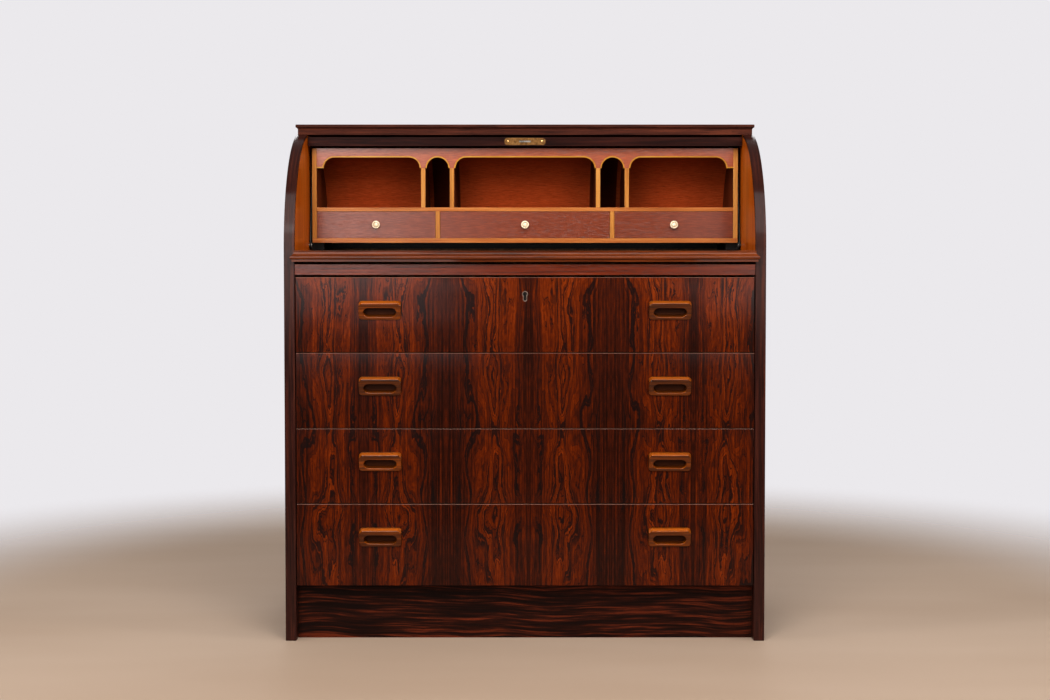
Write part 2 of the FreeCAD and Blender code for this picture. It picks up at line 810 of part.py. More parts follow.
def drawer_box(x, depth, z, walls, bottom, groove):
    """Two sides, a back that stands on the bottom, and a bottom let into the sides.

    walls holds the thickness of the sides and of the back, bottom its thickness and its height above
    the sides' lower edge.
    """
    left, right = x
    side, back = walls
    thickness, rise = bottom
    floor = (z[0] + rise, z[0] + rise + thickness)
    base = block((left + side - groove, right - side + groove), depth, floor)
    sides = [block((left, left + side), depth, z), block((right - side, right), depth, z)]
    rear = block((left + side, right - side), (depth[1] - back, depth[1]), (floor[1], z[1]))
    return [without(wall, base) for wall in sides] + [rear, base]


# Long drawers


def drawer_limits(number):
    """Limits in height of a long drawer's front. The lowest one reaches down to the plinth."""
    high = drawer_top - (number - 1) * (drawer_height + drawer_gap)
    low = drawers_low if number == drawer_count else high - drawer_height
    return low, high


def box_limits(number):
    """Limits in height of a long drawer's box."""
    low, high = drawer_limits(number)
    return low + box_raise, high - box_lower


def runner_limits(number):
    """Limits in height of a long drawer's runners, half way up its box."""
    low, high = box_limits(number)
    return around((low + high) / 2, runner_height)


def sliced(shape, point, normal):
    """The shape without what lies beyond a plane."""
    reach = handle_width + handle_height
    waste = Part.makeBox(reach, reach, reach, Vector(-reach / 2, -reach / 2, 0))
    waste.Placement = FreeCAD.Placement(point, FreeCAD.Rotation(Vector(0, 0, 1), normal))
    return shape.cut(waste)


def handle_fence(x, z):
    """The handle's outline seen from the front, as a block with rounded corners."""
    fence = block(around(x, handle_width), (-handle_lip, handle_inset), around(z, handle_height))
    return rounded(fence, handle_corner, depth_edge)


def finger_hollow(x, z):
    """The round-ended hollow of a handle, climbing inwards behind the lip."""
    radius = hollow_height / 2
    straight = hollow_length / 2 - radius
    climb = tan(radians(hollow_tilt))
    run = handle_lip + hollow_depth
    face_depth = -(handle_lip + handle_rim) / 2
    start_z = z - hollow_drop + (-handle_lip - face_depth) * climb
    ends = []
    for side in (-1, 1):
        tips = [(x + side * straight, start_z + lift * radius) for lift in (-1, 1)]
        bulge = (x + side * (straight + radius), start_z)
        ends.append((tips[0], bulge, tips[1]))
    runs = [(ends[0][place], ends[1][place]) for place in (0, 2)]
    outline = filled(drawn(ends + runs, lambda across_x, height: at(across_x, -handle_lip, height)))
    return outline.extrude(Vector(0, run, run * climb))


def handle(x, z):
    """A block let into the front: its lip leans out at the top, above a hollow for the fingers."""
    low, high = around(z, handle_height)
    outline = [(handle_inset, low), (handle_inset, high), (handle_bevel - handle_lip, high),
               (-handle_lip, high - handle_bevel), (-handle_rim, low)]
    body = across(drawn(closed(outline), section), around(x, handle_width)).common(handle_fence(x, z))
    for side in (-1, 1):
        normal = Vector(side * sqrt(0.5), -0.5, 0.5)
        corner = at(x + side * handle_width / 2, (handle_bevel - 2 * handle_lip) / 2, high - handle_bevel / 2)
        body = sliced(body, corner - normal * handle_facet, normal)
    return without(body, finger_hollow(x, z))


def make_drawer(number):
    low, high = drawer_limits(number)
    half = half_inner - drawer_gap
    front = block(spread(half), (0, front_thickness), (low, high))
    front = rounded(front, front_round, lambda box: box.YMax < front_y + tiny)
    handle_z = high - handle_drop
    pockets = pair(handle_fence(handle_spread / 2, handle_z))
    tools = pockets + (drawer_lock_tools() if number == 1 else [])
    save(f"drawer_{number}_front", without(front, *tools))
    save(f"drawer_{number}_handles", *pair(handle(handle_spread / 2, handle_z)))

    half_box = half_inner - box_side_gap
    depth = (front_thickness, front_thickness + box_depth)
    left, right, rear, base = drawer_box(spread(half_box), depth, box_limits(number), (box_side, box_back),
                                         (box_bottom, box_bottom_rise), box_groove)
    runner_low, runner_high = runner_limits(number)
    groove = block((half_box - runner_groove, half_box), (runner_front - runner_stop_gap, depth[1]),
                   (runner_low - runner_play, runner_high + runner_play))
    right_groove, left_groove = pair(groove)
    save(f"drawer_{number}_box", without(left, left_groove), without(right, right_groove), rear, base)


def make_drawer_runners():
    strips = []
    inner = half_inner - box_side_gap - runner_groove + runner_play
    for number in range(1, drawer_count + 1):
        strip = block((inner, half_inner), (runner_front, runner_back), runner_limits(number))
        strips += pair(strip)
    save("drawer_runners", *strips)


# Lock of the top drawer


def keyhole_shape(radius, width, tail, depth):
    """A round hole over a narrower round-ended tail."""
    z = drawer_top - keyhole_drop
    foot = z - tail
    return rod_back(radius, 0, depth, z).multiFuse([
        block(spread(width / 2), depth, (foot, z)),
        rod_back(width / 2, 0, depth, foot),
    ]).removeSplitter()


def drawer_lock_blank():
    depth = (front_thickness - drawer_lock_depth, front_thickness)
    return block(spread(drawer_lock_width / 2), depth, (drawer_top - drawer_lock_height, drawer_top))


def drawer_keyhole():
    """The way in for the key, from the front to the lock."""
    inner = escutcheon_radius - escutcheon_wall
    width = escutcheon_width - 2 * escutcheon_wall
    depth = (-escutcheon_proud, front_thickness - drawer_lock_depth)
    return keyhole_shape(inner, width, escutcheon_tail, depth)


def escutcheon_blank():
    depth = (-escutcheon_proud, escutcheon_depth)
    return keyhole_shape(escutcheon_radius, escutcheon_width, escutcheon_tail, depth)


def drawer_lock_tools():
    """What the lock takes out of the top drawer's front."""
    return [drawer_lock_blank(), drawer_keyhole(), escutcheon_blank()]


def make_drawer_lock():
    bolt_top = drawer_top - drawer_bolt_sink
    bolt_z = (bolt_top - drawer_bolt_height, bolt_top)
    bolt = block(spread(drawer_bolt_width / 2), drawer_bolt_depth(), bolt_z)
    near, far = drawer_bolt_depth()
    channel = block(spread(drawer_bolt_width / 2 + bolt_play), (near - bolt_play, far + bolt_play),
                    (bolt_z[0] - bolt_play, drawer_top))
    case_front = front_thickness - drawer_lock_depth
    pin_depth = (case_front - drill_pin_length, case_front)
    drill_pin = rod_back(drill_pin_radius, 0, pin_depth, drawer_top - keyhole_drop)
    save("drawer_lock_case", without(drawer_lock_blank(), channel).fuse(drill_pin))
    save("drawer_lock_bolt", bolt)
    save("drawer_lock_escutcheon", without(escutcheon_blank(), drawer_keyhole()))


# Small drawers of the unit


def dome_middle(radius, rise):
    """How far out and how high a shallow dome is half way round from its edge to its top."""
    ball = (radius**2 + rise**2) / (2 * rise)
    half_turn = asin(radius / ball) / 2
    return ball * sin(half_turn), rise - ball * (1 - cos(half_turn))


def knob(x, z):
    """A turned knob with a ring round its face and a shank let into the drawer's front."""
    face = knob_reach - knob_dome
    lip = knob_radius - knob_bulge
    dome = knob_ring - knob_groove
    out, up = dome_middle(dome, knob_dome)
    outline = [
        ((0, -knob_shank_length), (knob_shank, -knob_shank_length)),
        ((knob_shank, -knob_shank_length), (knob_shank, 0)),
        ((knob_shank, 0), (knob_foot, 0)),
        ((knob_foot, 0), (knob_neck, knob_flare / 2), (lip, knob_flare)),
        ((lip, knob_flare), (knob_radius, (knob_flare + face) / 2), (lip, face)),
        ((lip, face), (knob_ring + knob_groove, face)),
        ((knob_ring + knob_groove, face), (knob_ring, face - knob_groove), (dome, face)),
        ((dome, face), (out, face + up), (0, knob_reach)),
        ((0, knob_reach), (0, -knob_shank_length)),
    ]
    half_section = filled(drawn(outline, lambda radius, reach: at(x + radius, unit_front - reach, z)))
    return half_section.revolve(at(x, unit_front, z), Vector(0, 1, 0), 360)


def make_small_drawer(name, x):
    inside = (x[0] + small_gap, x[1] - small_gap)
    low, high = drawer_floor + small_gap, shelf_low - small_gap
    middle = (x[0] + x[1]) / 2
    back_of_front = unit_front + small_front
    knob_z = (low + high) / 2
    shank_hole = rod_back(knob_shank, middle, (unit_front, unit_front + knob_shank_length), knob_z)
    front = block(inside, (unit_front, back_of_front), (low, high))
    save(f"small_drawer_{name}_front", without(front, shank_hole))
    box_z = (drawer_floor + small_raise, high - small_lower)
    bent_back = pivot_depth + sqrt(unit_back_inner**2 - (shelf_low - pivot_z) ** 2)
    box = drawer_box(inside, (back_of_front, bent_back - small_back_gap), box_z, (small_side, small_back),
                     (small_bottom, small_bottom_rise), small_groove)
    save(f"small_drawer_{name}_box", *box)
    save(f"small_drawer_{name}_knob", knob(middle, knob_z))


def make_small_drawers():
    half_centre = centre_drawer_space / 2
    outer = (half_centre + divider_thickness, half_unit_inner)
    make_small_drawer("centre", spread(half_centre))
    make_small_drawer("right", outer)
    make_small_drawer("left", (-outer[1], -outer[0]))


os.makedirs("parts", exist_ok=True)
make_sides()
make_top()
make_back()
make_base()
make_front_rail()
make_board()
make_board_nose()
make_lid()
make_lid_arms()
make_lid_stop()
make_unit_boards()
make_valance()
for drawer_number in range(1, drawer_count + 1):
    make_drawer(drawer_number)
make_drawer_runners()
make_drawer_lock()
make_small_drawers()
print(f"lid turns {lid_travel:.3f} degrees about y {front_y + pivot_depth:.3f}, z {pivot_z:.3f}")
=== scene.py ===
# %% [markdown]
# # A rosewood cylinder desk
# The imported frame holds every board, drawer and joint at its real size. This file gives them their looks:
# softened edges, veneers whose figure runs on from drawer to drawer, old brass, and the light of a studio.
# The frame comes first, because each piece below takes its place and its size from it.

# %% Load the frame
import json
from math import atan2, cos, hypot, pi, radians, sin

import bmesh
import bpy
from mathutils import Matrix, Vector


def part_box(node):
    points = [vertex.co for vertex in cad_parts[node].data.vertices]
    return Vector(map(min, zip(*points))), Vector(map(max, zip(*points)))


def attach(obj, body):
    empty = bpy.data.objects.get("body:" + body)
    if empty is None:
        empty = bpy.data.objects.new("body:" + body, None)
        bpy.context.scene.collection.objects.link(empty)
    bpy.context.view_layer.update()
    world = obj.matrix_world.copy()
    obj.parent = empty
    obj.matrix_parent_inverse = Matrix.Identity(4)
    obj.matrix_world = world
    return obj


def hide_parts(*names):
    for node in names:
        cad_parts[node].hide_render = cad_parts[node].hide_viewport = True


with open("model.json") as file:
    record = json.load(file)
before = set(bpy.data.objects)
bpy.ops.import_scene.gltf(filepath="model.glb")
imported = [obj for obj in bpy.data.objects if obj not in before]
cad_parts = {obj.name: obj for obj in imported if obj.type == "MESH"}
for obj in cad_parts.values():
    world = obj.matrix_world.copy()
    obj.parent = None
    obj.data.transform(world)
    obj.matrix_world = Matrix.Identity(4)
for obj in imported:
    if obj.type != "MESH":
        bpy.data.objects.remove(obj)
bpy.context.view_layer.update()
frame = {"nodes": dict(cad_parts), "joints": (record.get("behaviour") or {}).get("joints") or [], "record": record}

body_of = {node: body for body, nodes in frame["record"]["behaviour"]["bodies"].items() for node in nodes}

# %% [markdown]
# ## Writing nodes
# Materials and Geometry Nodes are both trees. Placing each node and link by hand takes many lines, so this
# small class adds a node, links or sets its inputs, and gives back its output, and a tree reads like a sum.

# %% Nodes as nested calls
class Nodes:
    """Writes a node tree as nested calls, each of which gives back an output socket."""

    def __init__(self, tree):
        self.tree = tree

    def node(self, kind, inputs=None, **settings):
        """Add a node, then link or set its inputs."""
        made = self.tree.nodes.new(kind)
        for name, value in settings.items():
            setattr(made, name, value)
        for key, value in (inputs or {}).items():
            if isinstance(value, bpy.types.NodeSocket):
                self.tree.links.new(value, made.inputs[key])
            else:
                made.inputs[key].default_value = value
        return made

    def math(self, operation, *values):
        return self.node("ShaderNodeMath", dict(enumerate(values)), operation=operation).outputs[0]

    def vector(self, operation, *values):
        return self.node("ShaderNodeVectorMath", dict(enumerate(values)), operation=operation).outputs[0]

    def split(self, point):
        return self.node("ShaderNodeSeparateXYZ", {0: point}).outputs

    def join(self, x, y, z):
        return self.node("ShaderNodeCombineXYZ", {0: x, 1: y, 2: z}).outputs[0]

    def noise(self, point, scale, detail=2.0, roughness=0.5, distortion=0.0):
        inputs = {"Vector": point, "Scale": scale, "Detail": detail, "Roughness": roughness,
                  "Distortion": distortion}
        return self.node("ShaderNodeTexNoise", inputs).outputs[0]

    def noise_along(self, place, detail, roughness):
        """Noise along one line, for bands of uneven width."""
        inputs = {"W": place, "Scale": 1.0, "Detail": detail, "Roughness": roughness}
        return self.node("ShaderNodeTexNoise", inputs, noise_dimensions="1D").outputs[0]

    def step(self, value, low, high):
        """A smooth step from 0 at low to 1 at high."""
        inputs = {0: value, 1: low, 2: high}
        return self.node("ShaderNodeMapRange", inputs, interpolation_type="SMOOTHSTEP").outputs[0]

    def about_zero(self, noise):
        """A noise moved to lie about 0 instead of 0.5."""
        return self.math("SUBTRACT", noise, 0.5)

    def plus(self, base, value, share):
        """A base with a share of a value added."""
        return self.math("MULTIPLY_ADD", value, share, base)

    def mix(self, factor, first, second):
        inputs = {0: factor, 6: first, 7: second}
        return self.node("ShaderNodeMix", inputs, data_type="RGBA").outputs[2]

    def tint(self, colour, other, mask, share):
        """A colour, with a share of another one where the mask is 1."""
        return self.mix(self.math("MULTIPLY", mask, share), colour, other)

    def ramp(self, factor, *stops):
        """Colours at places from 0 to 1."""
        made = self.node("ShaderNodeValToRGB", {0: factor})
        elements = made.color_ramp.elements
        for _ in stops[2:]:
            elements.new(1.0)
        for element, (place, colour) in zip(elements, stops):
            element.position = place
            element.color = colour
        return made.outputs[0]


def paint(red, green, blue):
    """A colour from its screen values, 0 to 255, as the linear one that the shaders use."""
    linear = [(part / 255 / 12.92) if part < 11 else ((part / 255 + 0.055) / 1.055) ** 2.4
              for part in (red, green, blue)]
    return (*linear, 1.0)


def finish(name, paint_on, **constants):
    """A material. paint_on links what varies, and constants are set on the shader's own sockets."""
    material = bpy.data.materials.new(name)
    material.use_nodes = True
    shader = material.node_tree.nodes["Principled BSDF"]
    for socket, value in constants.items():
        shader.inputs[socket.replace("_", " ")].default_value = value
    paint_on(Nodes(material.node_tree), shader.inputs)
    print("finish:", name)
    return material


# How each kind of surface shines.
LACQUER = {"Coat_Weight": 0.17, "Coat_Roughness": 0.13, "Specular_IOR_Level": 0.03}
OILED = {"Specular_IOR_Level": 0.4}
SATIN = {"Specular_IOR_Level": 0.55}
SOFT = {"Specular_IOR_Level": 0.3}
WAXED = {"Coat_Weight": 0.28, "Coat_Roughness": 0.05, "Specular_IOR_Level": 0.03}
DULL = {"Specular_IOR_Level": 0.05}

# %% [markdown]
# ## Straight-grained wood
# Most boards here are straight grained: long fibres, broad colour bands, thin dark lines and short open
# pores, all drawn out along the board. Each is a noise whose space is squeezed along the grain, so that it
# comes out stretched. Four such noises give the colour, and the pores also sink a little in the bump.

# %% Straight grain
ALONG_X, ALONG_Y, ALONG_Z = 0, 1, 2
BAND_SCALE = 26.0
FIBRE_SCALE = 230.0
FIBRE_HEIGHT = 0.4
LINE_SCALE = 34.0
LINE_HALF = 0.035
PORE_SCALE = 1500.0
PORE_EDGE = (0.58, 0.68)
PORE_DEPTH = 0.00005
DRAWN_OUT = 0.035
PORE_DRAWN_OUT = 0.05


def along_grain(nodes, point, axis, share):
    """The point with its space squeezed along one axis."""
    squeeze = [1.0, 1.0, 1.0]
    squeeze[axis] = share
    return nodes.vector("MULTIPLY", point, squeeze)


def pore_noise(nodes, point, axis):
    """Short dashes along the grain."""
    return nodes.noise(along_grain(nodes, point, axis, PORE_DRAWN_OUT), PORE_SCALE)


def grain_height(nodes, fibres, pores):
    """Fibres stand up a little, and pores are sunk."""
    return nodes.math("SUBTRACT", nodes.math("MULTIPLY", fibres, FIBRE_HEIGHT), pores)


def straight_grain(nodes, point, axis, palette, line_colour, line_strength=0.6, pore_strength=0.5,
                   band_share=0.55, spread=0.28, drawn_out=DRAWN_OUT, fibre_scale=FIBRE_SCALE):
    """Colour and height of straight-grained wood. The palette runs from dark to light over the spread."""
    drawn = along_grain(nodes, point, axis, drawn_out)
    bands = nodes.noise(along_grain(nodes, point, axis, DRAWN_OUT), BAND_SCALE,
                        detail=3.0, roughness=0.55, distortion=0.6)
    fibres = nodes.noise(drawn, fibre_scale, detail=3.0, roughness=0.6)
    value = nodes.plus(nodes.math("MULTIPLY", bands, band_share), fibres, 1 - band_share)
    places = [0.5 + spread * (step / (len(palette) - 1) - 0.5) for step in range(len(palette))]
    colour = nodes.ramp(value, *zip(places, palette))

    contour = nodes.noise(drawn, LINE_SCALE, detail=2.0, roughness=0.6, distortion=1.2)
    distance = nodes.math("ABSOLUTE", nodes.about_zero(contour))
    colour = nodes.tint(colour, line_colour, nodes.step(distance, LINE_HALF, 0.0), line_strength)

    pores = nodes.step(pore_noise(nodes, point, axis), *PORE_EDGE)
    colour = nodes.tint(colour, line_colour, pores, pore_strength)
    return colour, grain_height(nodes, fibres, pores)


def object_point(nodes):
    return nodes.node("ShaderNodeTexCoord").outputs["Object"]


def grain_point(nodes):
    """The flat place of a bent board's surface, stored when it was bent."""
    return nodes.node("ShaderNodeAttribute", attribute_name="grain").outputs["Vector"]


def upward(nodes):
    """How far a surface is turned up, 1 where it is level."""
    return nodes.split(nodes.node("ShaderNodeNewGeometry").outputs["Normal"])[2]


def link(nodes, socket, value):
    nodes.tree.links.new(value, socket)


def lay_on(nodes, shader, colour, height):
    """Give a shader its colour, and a relief as deep as an open pore."""
    bump = nodes.node("ShaderNodeBump", {"Height": height, "Distance": PORE_DEPTH, "Strength": 1.0})
    link(nodes, shader["Base Color"], colour)
    link(nodes, shader["Normal"], bump.outputs[0])


def wood(name, axis, palette, line_colour, point_of=object_point, roughness=0.28, coat=LACQUER, **figure):
    """A straight-grained board's finish."""
    def paint_on(nodes, shader):
        lay_on(nodes, shader, *straight_grain(nodes, point_of(nodes), axis, palette, line_colour, **figure))
    return finish(name, paint_on, Roughness=roughness, **coat)


# %% [markdown]
# ## Rosewood
# The case is veneered in rosewood: near-black lines over a brown that goes from purple to orange. The sides'
# grain is upright, and that of the top, the plinth, the rails and the mouldings runs across. Above the
# writing board the sides' inner faces are lined with a plain orange-brown veneer. The finish finds them by
# how near to the middle and how high a face lies.

# %% Rosewood finishes
INK = paint(22, 12, 10)
PURPLE_BROWNS = [paint(32, 15, 12), paint(55, 26, 20), paint(86, 42, 28)]
DARK_BROWNS = [paint(28, 13, 11), paint(45, 21, 17), paint(70, 34, 26)]
TOP_BROWNS = [paint(42, 19, 14), paint(74, 36, 25), paint(110, 56, 36)]
RED_BROWNS = [paint(64, 21, 7), paint(102, 37, 12), paint(132, 54, 18)]
NOSE_BROWNS = [paint(52, 19, 6), paint(88, 37, 11), paint(114, 53, 17)]
PLINTH_BROWNS = [paint(24, 10, 6), paint(43, 17, 9), paint(94, 38, 19)]
LINING_BROWNS = [paint(164, 74, 6), paint(190, 92, 12), paint(210, 110, 22)]
LINING_LINE = paint(130, 54, 4)
VENEER_DEPTH = 0.0006
WAVE_SCALE = 3.0
WAVE_SQUEEZE = 0.5
WAVE_HEIGHT = 0.05

rosewood_bent = wood("rosewood_bent", ALONG_Z, PURPLE_BROWNS, INK, grain_point)
rosewood_dark = wood("rosewood_dark", ALONG_X, DARK_BROWNS, INK, coat=DULL)
top_rosewood = wood("top_rosewood", ALONG_X, TOP_BROWNS, INK, roughness=0.58, coat=DULL, line_strength=0.5)
nose_rosewood = wood("nose_rosewood", ALONG_X, NOSE_BROWNS, INK, coat=WAXED, line_strength=0.3)
rail_rosewood = wood("rail_rosewood", ALONG_X, RED_BROWNS, INK, roughness=0.2, coat=SOFT, line_strength=0.3)
board_rosewood = wood("board_rosewood", ALONG_X, RED_BROWNS, INK, roughness=0.4, coat=SOFT, line_strength=0.3)


def wavy_point(nodes):
    """The place on a board whose grain rises and falls."""
    point = object_point(nodes)
    wave = nodes.about_zero(nodes.noise(along_grain(nodes, point, ALONG_Z, WAVE_SQUEEZE), WAVE_SCALE))
    return nodes.vector("ADD", point, nodes.join(0.0, 0.0, nodes.math("MULTIPLY", wave, WAVE_HEIGHT)))


plinth_rosewood = wood("plinth_rosewood", ALONG_X, PLINTH_BROWNS, INK, wavy_point, roughness=0.4, coat=DULL,
                       band_share=0.25, spread=0.2, line_strength=0.3)


def side_paint(nodes, shader):
    """Rosewood outside, lining on the upper part of the inner face."""
    point = object_point(nodes)
    outer, height = straight_grain(nodes, point, ALONG_Z, PURPLE_BROWNS, INK)
    inner, _ = straight_grain(nodes, point, ALONG_Z, LINING_BROWNS, LINING_LINE, line_strength=0.3,
                              pore_strength=0.3)
    inner_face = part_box("side_panel_right")[0].x
    x, _, z = nodes.split(point)
    is_inner = nodes.math("LESS_THAN", nodes.math("ABSOLUTE", x), inner_face + VENEER_DEPTH)
    is_high = nodes.math("GREATER_THAN", z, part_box("board_runners")[0].z)
    lay_on(nodes, shader, nodes.tint(outer, inner, is_inner, is_high), height)


side_rosewood = finish("side_rosewood", side_paint, Roughness=0.3, **LACQUER)

# %% [markdown]
# ## Book-matched veneer
# The four drawer fronts were cut from one sheet of leaves, so the figure runs down through all of them.
# Leaves that lay on each other in the log open like a book: each seam is a mirror, which a ping-pong of the
# place across makes. A leaf is a plane that cuts the log's rings lengthwise near the heart: the distance from
# the heart grows to both sides, and the depth of the cut rises and falls along the log. Rings of equal
# distance are then tall pointed islands at the heart and straight lines on the flanks, as on the real
# drawers. The upper drawers are painted a little lighter, most of all at the heart: painted light, for the
# light that is brighter higher up.

# %% Matched veneer
PAIR_MIDDLE = 0.007
LEAF_WIDTH = 0.168
LEAF_CHANGE = 0.5
HEART = 0.07
HEART_SWAY = 0.024
SWAY_RATE = 6.0
SWAY_START = 3.0
HEART_HALF = 0.046
HEART_WANDER = 0.05
FLANK_FADE = 0.034
NEAR_HEART = (0.085, 0.03)
SEAM_CLEAR = 0.004
SEAM_CALM = 0.04
# Painted light: between these heights the tone rises, so the upper drawers look more brightly lit.
PAINTED_LIGHT_FROM = 0.55
PAINTED_LIGHT_TO = 0.76

# Clouds of noise: changes per metre across and along a leaf, then detail and roughness.
BROAD = (24.0, 6.0, 1.0, 0.5)
SMALL = (75.0, 17.0, 2.0, 0.55)
JAGGED = (300.0, 130.0, 3.0, 0.65)
STRIPES = (290.0, 2.5, 3.0, 0.75)
FLECKS = (280.0, 40.0, 3.0, 0.65)
UNEVEN = (40.0, 12.0, 2.0, 0.5)
BLOTCHES = (62.0, 24.0, 4.0, 0.65)

# How far the clouds move a ring, in metres. Of two values, the second is what the heart adds.
BROAD_MOVE = (0.03, 0.06)
SMALL_MOVE = (0.006, 0.016)
JAGGED_MOVE = 0.0045

# What makes up the tone, from 0, dark, to 1, orange, with pairs as above.
PLAIN_TONE = 0.36
HEART_TONE = 0.27
# Painted light on the upper drawers, with what the heart adds.
PAINTED_LIGHT_TONE = (0.06, 0.13)
BAND_TONE = (0.25, 0.7)
STRIPE_TONE = (1.5, -0.95)
FLECK_TONE = 0.6
BAND_RATE = 130.0

# Dark lines along the rings, and what else is as dark.
LINE_RATE = 78.0
LINE_START = 40.0
LINE_THICKNESS = 0.065
LINE_UNEVEN = 0.26
LINE_THINNEST = 0.006
LINE_SHARE = (0.4, 0.6)
LINE_CORE = 0.3
LINE_INK = 0.9
BLOTCH_EDGE = (0.12, 0.2)
BLOTCH_INK = 0.75
VENEER_PORE_EDGE = (0.6, 0.7)
VENEER_PORE_INK = 0.35

VENEER_BROWNS = [paint(24, 8, 4), paint(38, 12, 5), paint(53, 18, 7), paint(74, 24, 5), paint(92, 32, 4),
                 paint(118, 45, 7)]
VENEER_PLACES = (0.1, 0.28, 0.42, 0.57, 0.7, 0.88)
VENEER_ROUGHNESS = 0.27
# Painted highlight: a pale colour on the turned-up arrises, for the thin bright line along the drawers' tops.
EDGE_HIGHLIGHT = paint(170, 126, 108)
EDGE_HIGHLIGHT_SLOPE = (0.2, 0.75)
EDGE_HIGHLIGHT_SHARE = 0.7


def matched_grain(nodes, point):
    """Colour and height of the matched leaves, from a point whose z runs along the grain."""
    x, _, z = nodes.split(point)
    across = nodes.math("PINGPONG", nodes.math("SUBTRACT", x, PAIR_MIDDLE), LEAF_WIDTH)
    leaf = nodes.math("MULTIPLY", x, LEAF_CHANGE)

    def cloud(wide, long, detail, roughness):
        place = nodes.join(nodes.math("MULTIPLY", across, wide), leaf, nodes.math("MULTIPLY", z, long))
        return nodes.about_zero(nodes.noise(place, 1.0, detail, roughness))

    broad = cloud(*BROAD)
    stripes = cloud(*STRIPES)
    sway = nodes.noise_along(nodes.plus(SWAY_START, z, SWAY_RATE), detail=1.0, roughness=0.5)
    from_heart = nodes.plus(nodes.math("SUBTRACT", across, HEART), nodes.about_zero(sway), -HEART_SWAY)
    distance = nodes.math("ABSOLUTE", from_heart)
    near = nodes.step(distance, *NEAR_HEART)
    edge = nodes.plus(distance, broad, HEART_WANDER)
    heart = nodes.step(edge, HEART_HALF + FLANK_FADE, HEART_HALF - FLANK_FADE)

    def growing(share, flank, added):
        """A value of the flanks to which a share of the heart's is added."""
        return nodes.plus(flank, share, added)

    ring = nodes.plus(distance, broad, growing(near, *BROAD_MOVE))
    ring = nodes.plus(ring, cloud(*SMALL), growing(near, *SMALL_MOVE))
    ring = nodes.plus(ring, cloud(*JAGGED), JAGGED_MOVE)

    bands = nodes.noise_along(nodes.math("MULTIPLY", ring, BAND_RATE), detail=3.0, roughness=0.6)
    # Painted light: the tone rises towards the top, most of all at the heart.
    tone = nodes.plus(PLAIN_TONE, nodes.step(z, PAINTED_LIGHT_FROM, PAINTED_LIGHT_TO), growing(heart, *PAINTED_LIGHT_TONE))
    tone = nodes.plus(tone, heart, HEART_TONE)
    tone = nodes.plus(tone, nodes.about_zero(bands), growing(heart, *BAND_TONE))
    tone = nodes.plus(tone, stripes, growing(heart, *STRIPE_TONE))
    tone = nodes.plus(tone, cloud(*FLECKS), FLECK_TONE)
    colour = nodes.ramp(tone, *zip(VENEER_PLACES, VENEER_BROWNS))

    crossing = nodes.noise_along(nodes.plus(LINE_START, ring, LINE_RATE), detail=2.0, roughness=0.6)
    crossing = nodes.math("ABSOLUTE", nodes.about_zero(crossing))
    thickness = nodes.plus(LINE_THICKNESS, cloud(*UNEVEN), LINE_UNEVEN)
    thickness = nodes.math("MULTIPLY", thickness, growing(near, *LINE_SHARE))
    from_seam = nodes.math("MINIMUM", across, nodes.math("SUBTRACT", LEAF_WIDTH, across))
    thickness = nodes.math("MULTIPLY", thickness, nodes.step(from_seam, SEAM_CLEAR, SEAM_CALM))
    out_of_line = nodes.math("DIVIDE", crossing, nodes.math("MAXIMUM", thickness, LINE_THINNEST))
    colour = nodes.tint(colour, INK, nodes.step(out_of_line, 1.0, LINE_CORE), LINE_INK)
    blotches = nodes.math("MULTIPLY", nodes.step(cloud(*BLOTCHES), *BLOTCH_EDGE), heart)
    colour = nodes.tint(colour, INK, blotches, BLOTCH_INK)
    pores = nodes.step(pore_noise(nodes, point, ALONG_Z), *VENEER_PORE_EDGE)
    colour = nodes.tint(colour, INK, pores, VENEER_PORE_INK)
    return colour, grain_height(nodes, stripes, pores)


def matched_veneer(name, point_of, highlight_share=0.0):
    """The veneer, painted paler by a share where an edge is turned up: a painted highlight on the arrises."""
    def paint_on(nodes, shader):
        colour, height = matched_grain(nodes, point_of(nodes))
        # Painted highlight where an edge turns up.
        if highlight_share:
            colour = nodes.tint(colour, EDGE_HIGHLIGHT, nodes.step(upward(nodes), *EDGE_HIGHLIGHT_SLOPE), highlight_share)
        lay_on(nodes, shader, colour, height)
    return finish(name, paint_on, Roughness=VENEER_ROUGHNESS, **LACQUER)


drawer_veneer = matched_veneer("drawer_veneer", object_point, EDGE_HIGHLIGHT_SHARE)
lid_veneer = matched_veneer("lid_veneer", grain_point)

# %% [markdown]
# ## The pigeonhole unit's woods
# The unit is a plain reddish wood with fine pores. Its boards have a pale orange lipping on their front
# edges, which a material can draw by itself: everything within a few millimetres of the unit's front is
# lipping.

# %% Unit finishes
LIPPING_DEPTH = 0.0025
UNIT_BROWNS = [paint(90, 39, 22), paint(118, 53, 30), paint(146, 74, 46)]
ARCH_BROWNS = [paint(120, 53, 25), paint(150, 68, 33), paint(178, 92, 51)]
UNIT_LINE = paint(70, 32, 24)
BOARD_BROWNS = [paint(66, 26, 13), paint(90, 39, 19), paint(112, 52, 26)]
LIPPING_BROWNS = [paint(146, 82, 40), paint(172, 106, 54), paint(190, 126, 70)]
UPRIGHT_BROWNS = [paint(156, 98, 44), paint(182, 124, 60), paint(198, 144, 80)]
LIPPING_LINE = paint(150, 76, 34)
BACK_BROWNS = [paint(160, 60, 25), paint(190, 79, 34), paint(212, 100, 50)]
BACK_LINE = paint(76, 24, 12)
# Painted shade behind the two narrow slots: its colour, their middle and half width, and its share.
SLOT_SHADE_BROWN = paint(44, 12, 6)
SLOT_MIDDLE = 0.177
SLOT_HALF = 0.03
SLOT_SHADE = 0.85
EDGING_BROWNS = [paint(160, 102, 30), paint(180, 126, 44), paint(194, 144, 64)]

